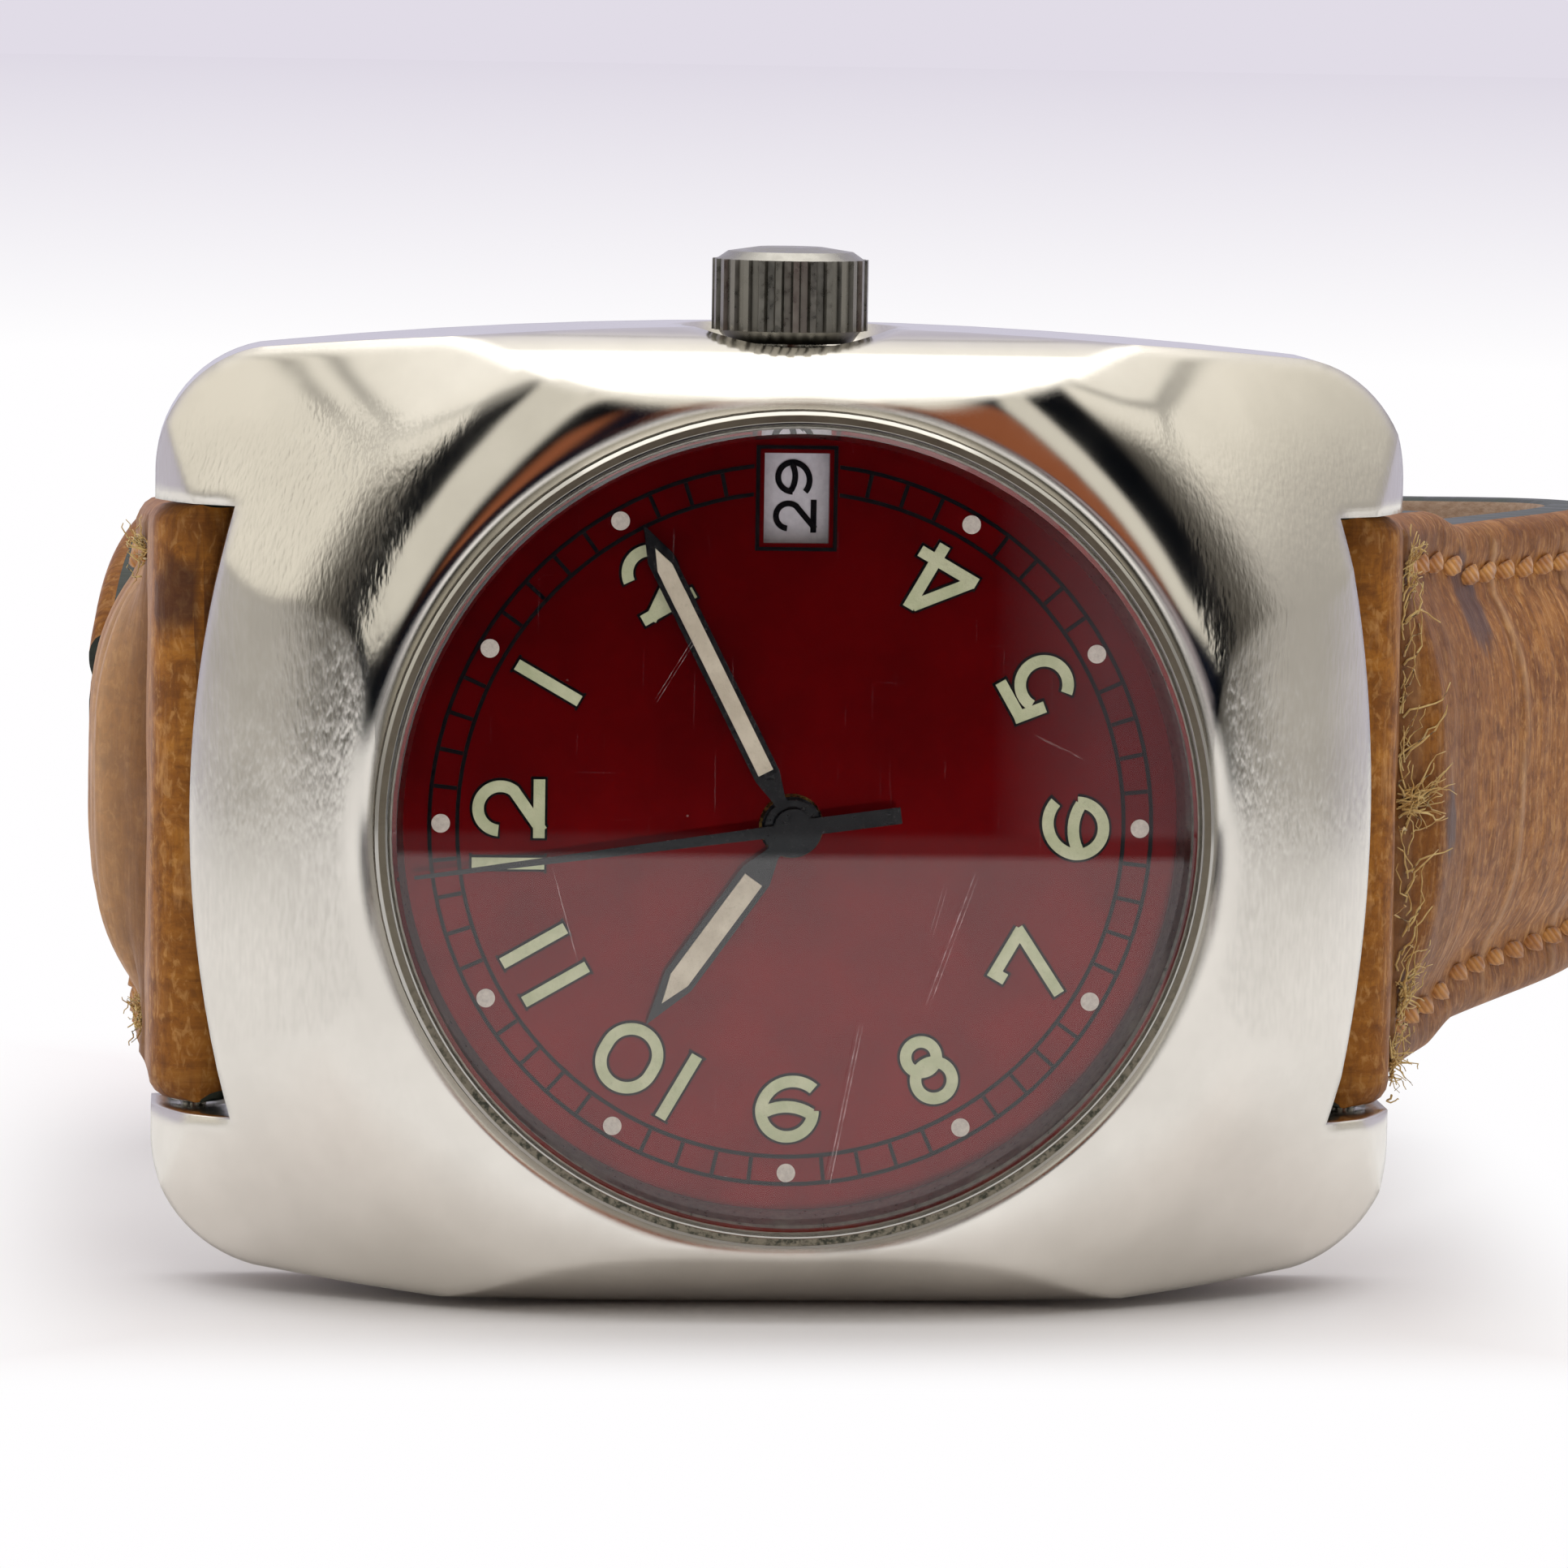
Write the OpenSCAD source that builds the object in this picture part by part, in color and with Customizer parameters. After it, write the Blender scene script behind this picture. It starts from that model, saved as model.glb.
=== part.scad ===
// Wristwatch with a steel cushion case, red dial, date at three and a leather strap.
// It stands on its nine o'clock flank with the crown on top, dial toward the viewer.
// Every sub-part is drawn about the dial axis and then turned into the standing pose.

/* [Case] */
// Case length over the lug tips
case_length = 41.2; // [36:0.1:50]
// Case width without the crown
case_width = 32; // [28:0.1:44]
// Height of the case body where the bezel stands
case_top = 9.95; // [8:0.05:14]
// Gap between the lugs, the strap width at the case
lug_gap = 20; // [16:1:24]
// Corner radius of the lugs in plan
lug_corner_r = 4.2; // [2:0.1:8]
// Radius of the slightly bowed flanks
flank_bow_r = 160; // [80:10:400]
// Radius of the rounding from flank to top
flank_round_r = 6.1; // [3:0.1:9]
// Radius of the falling lug back
lug_fall_r = 12; // [8:0.5:30]
// Drop of the lug back from its highest line to the tip
lug_fall_drop = 7.7; // [4:0.1:10]
// Height of the lug tip under the fall
lug_tip_top = 3.0; // [1.5:0.1:5]
// Radius that rounds the case top over, out from the bezel
face_round_r = 7.2; // [5:0.1:14]
// Slope of the case top where the rounding ends
face_slope = 0.8; // [0.3:0.05:1.2]
// Inner bore of the case
case_bore_r = 13.2; // [12:0.05:20]
// Underside of the case body
case_bottom = 0.7; // [0.3:0.05:2]
// Diameter of the scoop round the crown
crown_scoop_d = 7.1; // [5:0.1:10]

/* [Bezel and crystal] */
// Outer radius of the bezel ring
bezel_r = 13.5; // [12:0.05:20]
// Top of the bezel ring
bezel_top = 10.55; // [9:0.05:15]
// Underside of the crystal
crystal_bottom = 9.3; // [8:0.05:14]
// Thickness of the crystal
crystal_t = 1.4; // [1:0.1:3]
// Radius of the crystal
crystal_r = 12.95; // [11:0.05:19]

/* [Dial] */
// Underside of the dial
dial_bottom = 7.6; // [6:0.05:12]
// Dial thickness
dial_t = 0.4; // [0.3:0.05:0.8]
// Radius of the dial disc
dial_r = 13.05; // [11:0.05:19]
// Radius of the dial seen inside the rehaut
dial_seen_r = 12.55; // [10:0.05:18]
// Radius of the circle of hour dots
dot_ring_r = 11.33; // [9:0.1:16]
// Radius of one hour dot
dot_r = 0.3; // [0.2:0.01:0.6]
// Inner circle of the minute track
track_in_r = 10.8; // [8:0.05:16]
// Outer circle of the minute track
track_out_r = 11.7; // [8:0.05:17]
// Width of the track lines
track_line = 0.13; // [0.05:0.01:0.3]
// Height of a numeral
numeral_h = 2.34; // [2:0.1:5]
// Stroke width of the numerals
numeral_stroke = 0.37; // [0.2:0.02:1]
// Radius of the circle of numerals
numeral_ring_r = 9.15; // [6:0.05:14]
// Radius of the middle of the date window
date_r = 10.6; // [8:0.1:14]
// Date window along the radius
date_win_x = 2.9; // [2:0.1:4]
// Date window across the radius
date_win_y = 2.1; // [1.5:0.1:4]

/* [Hands] */
// Hour hand set ahead of the minutes, degrees
hour_ahead = 0.5; // [-3:0.1:3]
// Shown time, hours
show_hour = 10; // [0:1:11]
// Shown time, minutes
show_minute = 10.5; // [0:0.1:59.9]
// Shown time, seconds
show_second = 58.7; // [0:0.1:59.9]
// Length of the hour hand
hour_len = 7.95; // [5:0.05:10]
// Length of the minute hand
minute_len = 10.95; // [8:0.05:12]
// Length of the seconds hand
second_len = 12.3; // [8:0.05:12.4]
// Length of the seconds tail
second_tail = 3.5; // [1:0.1:6]
// Width of the hour hand
hour_w = 1.06; // [0.5:0.02:2]
// Width of the minute hand
minute_w = 0.86; // [0.5:0.02:2]

/* [Crown] */
// Crown diameter
crown_d = 5.1; // [3:0.1:8]
// Crown length
crown_len = 3.1; // [2:0.1:5]
// Number of crown flutes
crown_flutes = 28; // [12:1:48]
// Height of the stem axis over the back
stem_z = 4.3; // [2:0.1:7]
// Travel of the crown to the setting position
crown_travel = 1.4; // [0.5:0.1:3]

/* [Strap] */
// Strap width at the buckle
strap_end_w = 16.4; // [12:0.1:22]
// Strap thickness at the lugs
strap_t_lug = 3.0; // [2:0.1:5]
// Strap thickness at the buckle
strap_t_end = 2.1; // [1.2:0.1:4]
// Spring bar axis in from the end of the case
lug_bar_in = 1.4; // [0.8:0.05:3]
// Spring bar height over the back
bar_z = 1.95; // [1:0.05:4]
// Spring bar radius
bar_r = 0.75; // [0.5:0.05:1.2]

/* [Movement] */
// Radius of the movement plate
plate_r = 12.55; // [10:0.05:16]
// Underside of the main plate
plate_bottom = 5.0; // [4:0.05:8]
// Top of the main plate
plate_top = 5.9; // [5:0.05:9]
// Battery diameter
battery_d = 6.8; // [5:0.1:12]
// Battery height
battery_h = 2.1; // [1:0.1:4]

/* [Hidden] */
bar_y = case_length / 2 - lug_bar_in;

steel = [0.62, 0.61, 0.58];
dark_steel = [0.3, 0.3, 0.29];
brass = [0.75, 0.6, 0.3];
black = [0.05, 0.05, 0.05];
lume = [0.82, 0.82, 0.68];
tan = [0.55, 0.38, 0.2];
fit = 0.05;
big = 60;
dial_top = dial_bottom + dial_t;
half_len = case_length / 2;
half_w = case_width / 2;
crystal_top = crystal_bottom + crystal_t;

// The watch frame has the dial along z and twelve o'clock along y
module placed() {
    rotate([90, 0, 0])
        rotate([0, 0, 90])
            children();
}

// Cylinder between two heights
module rod(r, z0, z1, n = 96) {
    translate([0, 0, z0])
        cylinder(h = z1 - z0, r = r, $fn = n);
}

// Ring between two radii and two heights
module ring(r1, r0, z0, z1, n = 96) {
    difference() {
        rod(r1, z0, z1, n);
        rod(r0, z0 - 1, z1 + 1, n);
    }
}

// Cylinder along x
module rod_x(r, x0, x1, y, z, n = 64) {
    translate([x0, y, z])
        rotate([0, 90, 0])
            cylinder(h = x1 - x0, r = r, $fn = n);
}

// Box between two corners
module box(a, b) {
    translate(a)
        cube(b - a);
}

module turned(angle, at) {
    translate([at[0], at[1], 0])
        rotate([0, 0, angle])
            children();
}

// Case
// Centre of the arc that passes the lug tip and the case shoulder
fall_y = half_len - 0.1 - sqrt(pow(lug_fall_r, 2) - pow(lug_fall_r - lug_fall_drop, 2));
fall_z = lug_tip_top + lug_fall_drop - lug_fall_r;
face_cx = bezel_r - 0.1;
face_cz = case_top - face_round_r;
face_x = face_cx + face_round_r * sin(atan(face_slope));
face_z = face_cz + face_round_r * cos(atan(face_slope));
flank_z = 5.2;
tip_x = half_w - 0.85;
notch_bow_r = 36.4;
notch_y = 19.4;
strap_pocket_r = strap_t_lug / 2 + 0.18;
strap_in_y = bar_y - strap_pocket_r - 0.12;

// Plan outline with bowed flanks and rounded lug corners
module case_plan() {
    intersection() {
        translate([-(flank_bow_r - half_w), 0, 0])
            rod(flank_bow_r, -5, 15, 256);
        translate([flank_bow_r - half_w, 0, 0])
            rod(flank_bow_r, -5, 15, 256);
        union() {
            box([-tip_x - 2, -half_len + lug_corner_r, -5], [tip_x + 2, half_len - lug_corner_r, 15]);
            box([-tip_x + lug_corner_r, -half_len, -5], [tip_x - lug_corner_r, half_len, 15]);
            for (sx = [-1, 1])
                for (sy = [-1, 1])
                    translate([sx * (tip_x - lug_corner_r), sy * (half_len - lug_corner_r), 0])
                        rod(lug_corner_r, -5, 15, 96);
        }
    }
}

// Side view with the backs of the lugs falling away
module case_fall() {
    union() {
        box([-big / 2, -fall_y, -3], [big / 2, fall_y, fall_z + lug_fall_r]);
        for (sy = [-1, 1])
            rod_x(lug_fall_r, -big / 2, big / 2, sy * fall_y, fall_z, 128);
    }
}

// End view with the flanks rounded into the top
module case_shoulders() {
    union() {
        box([-half_w, -big / 2, -3], [half_w, big / 2, flank_z]);
        box([-half_w + flank_round_r, -big / 2, -3], [half_w - flank_round_r, big / 2, 20]);
        for (sx = [-1, 1])
            translate([sx * (half_w - flank_round_r), big / 2, flank_z])
                rotate([90, 0, 0])
                    cylinder(h = big, r = flank_round_r, $fn = 128);
    }
}

// Top of the case, level at the bezel, rounded over outward and a cone outside that
module case_face() {
    rotate_extrude($fn = 192)
        union() {
            polygon([[0, -3], [30, -3], [30, face_z - face_slope * (30 - face_x)],
                [face_x, face_z - 0.01], [face_cx, case_top - 0.6], [0, case_top - 0.6]]);
            translate([face_cx, face_cz])
                circle(r = face_round_r, $fn = 192);
        }
}

module case_middle() {
    color(steel)
    placed()
    difference() {
        intersection() {
            case_plan();
            case_fall();
            case_shoulders();
            case_face();
            box([-big, -big, 0.25], [big, big, 20]);
        }
        // underside, flat round the back and hollowed between the lugs
        rod(14.6, -1, case_bottom);
        // bore for the movement and stepped seats for back and bezel
        rod(case_bore_r, -1, 9, 192);
        rod(12.9, 5, 20, 192);
        rod(13.3, 8.6, 20, 192);
        rod(bezel_r + fit, crystal_bottom, 20, 192);
        // gaps between the lugs, bowed like the end of the case
        for (sy = [-1, 1]) {
            difference() {
                box([-lug_gap / 2, sy > 0 ? 15 : -30, -2], [lug_gap / 2, sy > 0 ? 30 : -15, 20]);
                translate([0, sy * (notch_y - notch_bow_r), 0])
                    rod(notch_bow_r, -5, 25, 192);
            }
            rod_x(strap_pocket_r, -lug_gap / 2, lug_gap / 2, sy * bar_y, bar_z, 96);
            box([-lug_gap / 2, sy > 0 ? strap_in_y : -30, -2], [lug_gap / 2, sy > 0 ? 30 : -strap_in_y, bar_z]);
            // spring bar holes
            rod_x(0.45, -lug_gap / 2 - 1.3, lug_gap / 2 + 1.3, sy * bar_y, bar_z, 48);
        }
        // crown scoop and tube bore
        rod_x(crown_scoop_d / 2, half_w - 0.6, half_w + 3, 0, stem_z, 96);
        rod_x(1.3, 12, half_w + 1, 0, stem_z, 64);
    }
}

module case_back() {
    color(steel)
    placed()
    difference() {
        union() {
            rod(14.0, 0.25, case_bottom, 192);
            rod(13.6, 0, 0.3, 192);
            rod(case_bore_r - fit, case_bottom - 0.1, 1.5, 192);
        }
        // gasket groove in the plug
        ring(14.5, 12.75, 0.9, 1.3, 192);
        rod(12.0, 1.1, 3, 192);
        // six notches for the opening key
        for (a = [0 : 60 : 300])
            rotate([0, 0, a])
                box([12.2, -0.8, -1], [14.5, 0.8, 0.35]);
    }
}

module case_back_gasket() {
    color(black)
    placed()
    ring(case_bore_r - 0.01, 12.78, 0.93, 1.27, 128);
}

module bezel_ring() {
    color(dark_steel)
    placed()
    rotate_extrude($fn = 192)
        polygon([[13.25, crystal_bottom + 0.02], [bezel_r, crystal_bottom + 0.02],
            [bezel_r, bezel_top - 0.12], [bezel_r - 0.12, bezel_top],
            [13.1, bezel_top], [13.02, bezel_top - 0.1], [13.02, bezel_top - 0.35],
            [13.25, bezel_top - 0.35]]);
}

module crystal_gasket() {
    color([0.75, 0.75, 0.72])
    placed()
    ring(13.24, crystal_r + 0.01, crystal_bottom + 0.02, bezel_top - 0.37, 128);
}

module crystal() {
    color([0.8, 0.85, 0.9, 0.25])
    placed()
    rotate_extrude($fn = 192)
        polygon([[0, crystal_bottom], [crystal_r, crystal_bottom], [crystal_r, crystal_top - 0.15],
            [crystal_r - 0.15, crystal_top], [0, crystal_top]]);
}

module rehaut() {
    color(steel)
    placed()
    rotate_extrude($fn = 192)
        polygon([[dial_seen_r, dial_top + 0.01], [13.05, dial_top + 0.01], [13.05, 8.65],
            [13.25, 8.65], [13.25, crystal_bottom - 0.01], [12.85, crystal_bottom - 0.01],
            [dial_seen_r, dial_top + 0.3]]);
}

// Crown and winding
crown_x0 = half_w - 0.55;
crown_x1 = crown_x0 + crown_len;
tube_x1 = crown_x1 - 1.2;
stem_r = 0.45;

// Outline of the fluted rim, a groove at every step
flute_points = [for (i = [0 : crown_flutes - 1])
    for (k = [0 : 3])
        let (a = 360 / crown_flutes * (i + [-0.3, -0.17, 0.17, 0.3][k]))
        let (r = k == 0 || k == 3 ? crown_d / 2 - 0.13 : crown_d / 2)
        [r * cos(a), r * sin(a)]];

module crown() {
    color(dark_steel)
    placed()
    difference() {
        translate([crown_x0, 0, stem_z])
            rotate([0, 90, 0])
                union() {
                    cylinder(h = 0.4, r1 = crown_d / 2 - 0.5, r2 = crown_d / 2 - 0.2, $fn = 96);
                    translate([0, 0, 0.4])
                        linear_extrude(crown_len - 0.8)
                            polygon(flute_points);
                    translate([0, 0, crown_len - 0.4])
                        cylinder(h = 0.25, r1 = crown_d / 2 - 0.14, r2 = crown_d / 2 - 0.5, $fn = 96);
                    translate([0, 0, crown_len - 0.15])
                        cylinder(h = 0.15, r1 = crown_d / 2 - 0.5, r2 = crown_d / 2 - 1.5, $fn = 96);
                }
        // hollow for tube and gasket, with the stem boss left standing
        difference() {
            rod_x(1.72, crown_x0 - 1, tube_x1 + 0.3, 0, stem_z, 64);
            rod_x(0.8, crown_x0 - 2, crown_x1, 0, stem_z, 48);
        }
        rod_x(stem_r + 0.01, crown_x0 - 1, tube_x1, 0, stem_z, 48);
    }
}

module crown_tube() {
    color(steel)
    placed()
    difference() {
        union() {
            rod_x(1.29, case_bore_r + 0.2, crown_x0 - 0.1, 0, stem_z, 64);
            rod_x(1.22, crown_x0 - 0.5, tube_x1 - 0.05, 0, stem_z, 64);
        }
        rod_x(0.86, case_bore_r - 1, crown_x0 + 4, 0, stem_z, 64);
    }
}

module crown_gasket() {
    color(black)
    placed()
    difference() {
        rod_x(1.67, crown_x0 + 0.15, crown_x0 + 0.65, 0, stem_z, 64);
        rod_x(1.27, crown_x0, crown_x0 + 2, 0, stem_z, 64);
    }
}

module winding_stem() {
    color(steel)
    placed()
    union() {
        rod_x(stem_r, 8.9, tube_x1 - 0.05, 0, stem_z, 48);
        rod_x(0.3, 7.9, 9, 0, stem_z, 48);
        rod_x(stem_r, 7.2, 8, 0, stem_z, 48);
        translate([5.2, -0.22, stem_z - 0.22])
            cube([2.1, 0.44, 0.44]);
    }
}

module sliding_pinion() {
    color(steel)
    placed()
    difference() {
        translate([5.3, 0, stem_z])
            rotate([0, 90, 0])
                rotate([0, 0, 22.5])
                    cylinder(h = 1.5, r = 0.62, $fn = 8);
        translate([5, -0.23, stem_z - 0.23])
            cube([3, 0.46, 0.46]);
    }
}

// Dial
module dial() {
    color([0.45, 0.02, 0.03])
    placed()
    difference() {
        rod(dial_r, dial_bottom, dial_top, 192);
        rod(1.05, 0, 20, 48);
        box([date_r - date_win_x / 2, -date_win_y / 2, 0],
            [date_r + date_win_x / 2, date_win_y / 2, 20]);
    }
}

module date_frame() {
    color(black)
    placed()
    difference() {
        box([date_r - date_win_x / 2 - 0.25, -date_win_y / 2 - 0.27, dial_top],
            [date_r + date_win_x / 2 + 0.25, date_win_y / 2 + 0.27, dial_top + 0.04]);
        box([date_r - date_win_x / 2 - 0.13, -date_win_y / 2 - 0.14, 0],
            [date_r + date_win_x / 2 + 0.13, date_win_y / 2 + 0.14, 20]);
    }
}

// True where a minute tick is printed, not on an hour dot nor in the date window
function tick_at(i) = i % 5 != 0 && abs(i - 15) > 1;

module minute_track() {
    color(black)
    placed()
    union() {
        difference() {
            union() {
                ring(track_in_r + track_line / 2, track_in_r - track_line / 2, dial_top, dial_top + 0.03, 128);
                ring(track_out_r + track_line / 2, track_out_r - track_line / 2, dial_top, dial_top + 0.03, 128);
            }
            box([date_r - date_win_x / 2 - 0.3, -date_win_y / 2 - 0.33, 0], [15, date_win_y / 2 + 0.33, 20]);
        }
        for (i = [0 : 59])
            if (tick_at(i))
                rotate([0, 0, -6 * i])
                    box([-track_line / 2, track_in_r + track_line / 2 + 0.01, dial_top],
                        [track_line / 2, track_out_r - track_line / 2 - 0.01, dial_top + 0.03]);
    }
}

module hour_dots() {
    color([0.9, 0.88, 0.82])
    placed()
    for (h = [0 : 11])
        if (h != 3)
            rotate([0, 0, -30 * h])
                translate([0, dot_ring_r, 0])
                    rod(dot_r, dial_top, dial_top + 0.05, 32);
}

// Strokes of the numerals, h is the layer height
module bar(p, q, w, h) {
    d = q - p;
    l = norm(d);
    translate([p[0], p[1], 0])
        rotate([0, 0, atan2(d[1], d[0])])
            translate([0, -w / 2, 0])
                cube([l, w, h]);
}

module arc(c, r, a0, a1, w, h) {
    translate([c[0], c[1], 0])
        rotate([0, 0, a0])
            rotate_extrude(angle = a1 - a0, $fn = 48)
                translate([r - w / 2, 0])
                    square([w, h]);
}

// One figure of unit stroke grid, s is the half height, w the stroke, h the layer, e the outline
module figure(d, s, w, h, e) {
    t = s - numeral_stroke / 2;
    if (d == 1) {
        bar([0, -s - e], [0, s + e], w, h);
        if (e > 0)
            for (m = [-1, 1])
                bar([-0.32, m * (s + e / 2)], [0.32, m * (s + e / 2)], e, h);
    }
    if (d == 0) {
        arc([0, 0.12], 0.86, -1, 181, w, h);
        arc([0, -0.12], 0.86, 179, 361, w, h);
        bar([0.86, -0.12], [0.86, 0.12], w, h);
        bar([-0.86, -0.12], [-0.86, 0.12], w, h);
    }
    if (d == 2) {
        arc([0, t - 0.72], 0.72, -40, 175 + e * 60, w, h);
        bar([0.62, t - 1.12], [-0.72, -t - 0.1], w, h);
        bar([-0.95 - e, -t], [0.95 + e, -t], w, h);
    }
    if (d == 4) {
        bar([0.4, -s - e], [0.4, s + e], w, h);
        bar([0.3, t + 0.05], [-0.95, -0.55], w, h);
        bar([-1.12 - e, -0.62], [1.0 + e, -0.62], w, h);
    }
    if (d == 5) {
        arc([-0.02, -t + 0.78], 0.78, -140 - e * 60, 120, w, h);
        bar([-0.55, t], [0.75 + e, t], w, h);
        bar([-0.5, t + w / 2], [-0.66, 0.12 - e], w, h);
    }
    if (d == 6) {
        arc([0, -0.14], 0.85, 178, 360, w, h);
        arc([-0.03, -1.5], 1.5, 57, 117, w, h);
        arc([0.18, -0.21], 1.04, 50 - e * 60, 175, w, h);
    }
    if (d == 7) {
        bar([-0.95 - e, t], [0.9, t], w, h);
        bar([-0.77, t], [-0.77, t - 0.4 - e], w, h);
        bar([0.86, t + 0.12], [-0.28 - e / 2, -s - e], w, h);
    }
    if (d == 8) {
        arc([0, t - 0.5], 0.5, 0, 360, w, h);
        arc([0, -t + 0.6], 0.6, 0, 360, w, h);
    }
    if (d == 9)
        rotate([0, 0, 180])
            figure(6, s, w, h, e);
}

// A figure at an offset along the reading direction
module figure_at(u, d, w, h, e) {
    translate([u, 0, 0])
        figure(d, numeral_h / 2, w, h, e);
}

module numerals(w, h, e) {
    for (c = [1, 2, 4, 5, 6, 7, 8, 9, 10, 11, 12])
        rotate([0, 0, -30 * c])
            translate([0, numeral_ring_r, 0])
                rotate([0, 0, c > 3 && c < 9 ? 180 : 0]) {
                    if (c < 10)
                        figure_at(0, c, w, h, e);
                    if (c == 10) {
                        figure_at(-1.2, 1, w, h, e);
                        figure_at(0.66, 0, w, h, e);
                    }
                    if (c == 11) {
                        figure_at(-0.72, 1, w, h, e);
                        figure_at(0.72, 1, w, h, e);
                    }
                    if (c == 12) {
                        figure_at(-1.28, 1, w, h, e);
                        figure_at(0.5, 2, w, h, e);
                    }
                }
}

module numeral_outlines() {
    color(black)
    placed()
    translate([0, 0, dial_top])
        numerals(numeral_stroke + 0.17, 0.03, 0.08);
}

module numeral_lume() {
    color(lume)
    placed()
    translate([0, 0, dial_top + 0.03])
        numerals(numeral_stroke, 0.08, 0);
}

// Hands
hour_angle = (show_hour + show_minute / 60) * 30 + hour_ahead;
minute_angle = show_minute * 6;
second_angle = show_second * 6;
hour_z = 8.25;
minute_z = 8.6;
second_z = 8.92;
hour_tube_r = 0.75;
cannon_r = 0.55;
arbor_r = 0.25;
hub_r = 0.98;

module hour_hand() {
    color(black)
    placed()
    rotate([0, 0, -hour_angle])
    translate([0, 0, hour_z])
    difference() {
        union() {
            cylinder(h = 0.2, r = hub_r, $fn = 64);
            linear_extrude(0.18)
                polygon([[-0.24, 0], [-0.24, 1.1], [-hour_w / 2, 1.95], [-hour_w / 2, 6.2], [0, hour_len],
                    [hour_w / 2, 6.2], [hour_w / 2, 1.95], [0.24, 1.1], [0.24, 0]]);
        }
        translate([0, 0, -1])
            cylinder(h = 3, r = hour_tube_r + 0.005, $fn = 64);
        translate([0, 0, -1])
            linear_extrude(3)
                polygon([[-0.35, 2.1], [-0.35, 6.15], [0, 7.1], [0.35, 6.15], [0.35, 2.1]]);
    }
}

module hour_hand_lume() {
    color(lume)
    placed()
    rotate([0, 0, -hour_angle])
    translate([0, 0, hour_z + 0.01])
        linear_extrude(0.2)
            polygon([[-0.34, 2.11], [-0.34, 6.14], [0, 7.08], [0.34, 6.14], [0.34, 2.11]]);
}

module minute_hand() {
    color(black)
    placed()
    rotate([0, 0, -minute_angle])
    translate([0, 0, minute_z])
    difference() {
        union() {
            cylinder(h = 0.18, r = hub_r - 0.06, $fn = 64);
            linear_extrude(0.16)
                polygon([[-0.22, 0], [-0.22, 1.05], [-minute_w / 2, 1.9], [-minute_w / 2, 9.75],
                    [0, minute_len], [minute_w / 2, 9.75], [minute_w / 2, 1.9], [0.22, 1.05], [0.22, 0]]);
        }
        translate([0, 0, -1])
            cylinder(h = 3, r = cannon_r + 0.005, $fn = 64);
        translate([0, 0, -1])
            linear_extrude(3)
                polygon([[-0.27, 2.0], [-0.27, 9.4], [0, 10.1], [0.27, 9.4], [0.27, 2.0]]);
    }
}

module minute_hand_lume() {
    color(lume)
    placed()
    rotate([0, 0, -minute_angle])
    translate([0, 0, minute_z + 0.01])
        linear_extrude(0.18)
            polygon([[-0.26, 2.01], [-0.26, 9.39], [0, 10.08], [0.26, 9.39], [0.26, 2.01]]);
}

module seconds_hand() {
    color(black)
    placed()
    rotate([0, 0, -second_angle])
    translate([0, 0, second_z])
    difference() {
        union() {
            cylinder(h = 0.2, r = 0.66, $fn = 64);
            linear_extrude(0.1)
                polygon([[-0.06, second_len], [0.06, second_len], [0.2, 0], [0.27, -0.4],
                    [0.27, -second_tail], [-0.27, -second_tail], [-0.27, -0.4], [-0.2, 0]]);
        }
        translate([0, 0, -1])
            cylinder(h = 1.1, r = arbor_r + 0.005, $fn = 48);
    }
}

// Wheels of the train, tooth counts give 60 to 1 and 12 to 1
train_a = 4.2;
train_dir = 100;
motor_a = 4.3;
motor_dir = 280;
rotor_a = 2.94;
rotor_dir = -20;
motion_a = 3.6;
motion_dir = 45;
date_a = 4.5;
date_dir = 200;
third_at = train_a * [cos(train_dir), sin(train_dir)];
inter_at = motor_a * [cos(motor_dir), sin(motor_dir)];
rotor_at = inter_at + rotor_a * [cos(rotor_dir), sin(rotor_dir)];
minute_at = motion_a * [cos(motion_dir), sin(motion_dir)];
date_at = date_a * [cos(date_dir), sin(date_dir)];
battery_at = [-6.1, -6.1];
bridge_z0 = 2.2;
bridge_z1 = 2.8;
pillars = [[9.3, 5.2], [-10.4, 1.6], [10.6, -3.2], [3.2, 10.4]];

// Tooth angle of a wheel that meets another one at direction t
function meet(t, pa, na, nb) = t + 180 - 360 / nb * (0.5 - (t - pa) * na / 360);

function tooth_points(n, m, ph) = [
    for (i = [0 : n - 1])
        for (k = [0 : 3])
            let (a = ph + 360 / n * (i + [-0.27, -0.11, 0.11, 0.27][k]))
            let (r = m * n / 2 + (k == 0 || k == 3 ? -1.15 * m : 0.8 * m))
            [r * cos(a), r * sin(a)]
];

module wheel(n, pitch_r, ph, z0, z1) {
    translate([0, 0, z0])
        linear_extrude(z1 - z0)
            polygon(tooth_points(n, 2 * pitch_r / n, ph));
}

module seconds_wheel() {
    color(brass)
    placed()
    union() {
        wheel(30, motor_a * 30 / 36, 0, 3.0, 3.25);
        wheel(6, train_a * 6 / 42, 0, 3.25, 3.75);
        rod(arbor_r, bridge_z0 + 0.1, second_z + 0.08, 48);
    }
}

module third_wheel() {
    color(brass)
    placed()
    turned(0, third_at)
    union() {
        wheel(36, train_a * 36 / 42, meet(train_dir, 0, 6, 36), 3.4, 3.65);
        wheel(6, train_a * 6 / 66, 0, 3.65, 4.3);
        rod(0.15, bridge_z0 + 0.1, plate_bottom + 0.6, 32);
    }
}

module centre_wheel() {
    color(brass)
    placed()
    difference() {
        union() {
            wheel(60, train_a * 60 / 66, meet(train_dir + 180, 0, 6, 60), 3.95, 4.2);
            rod(cannon_r, 3.95, minute_z + 0.2, 64);
            wheel(8, motion_a * 8 / 32, 0, plate_top + 0.1, plate_top + 0.5);
        }
        rod(arbor_r + fit, 0, 20, 48);
    }
}

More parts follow.
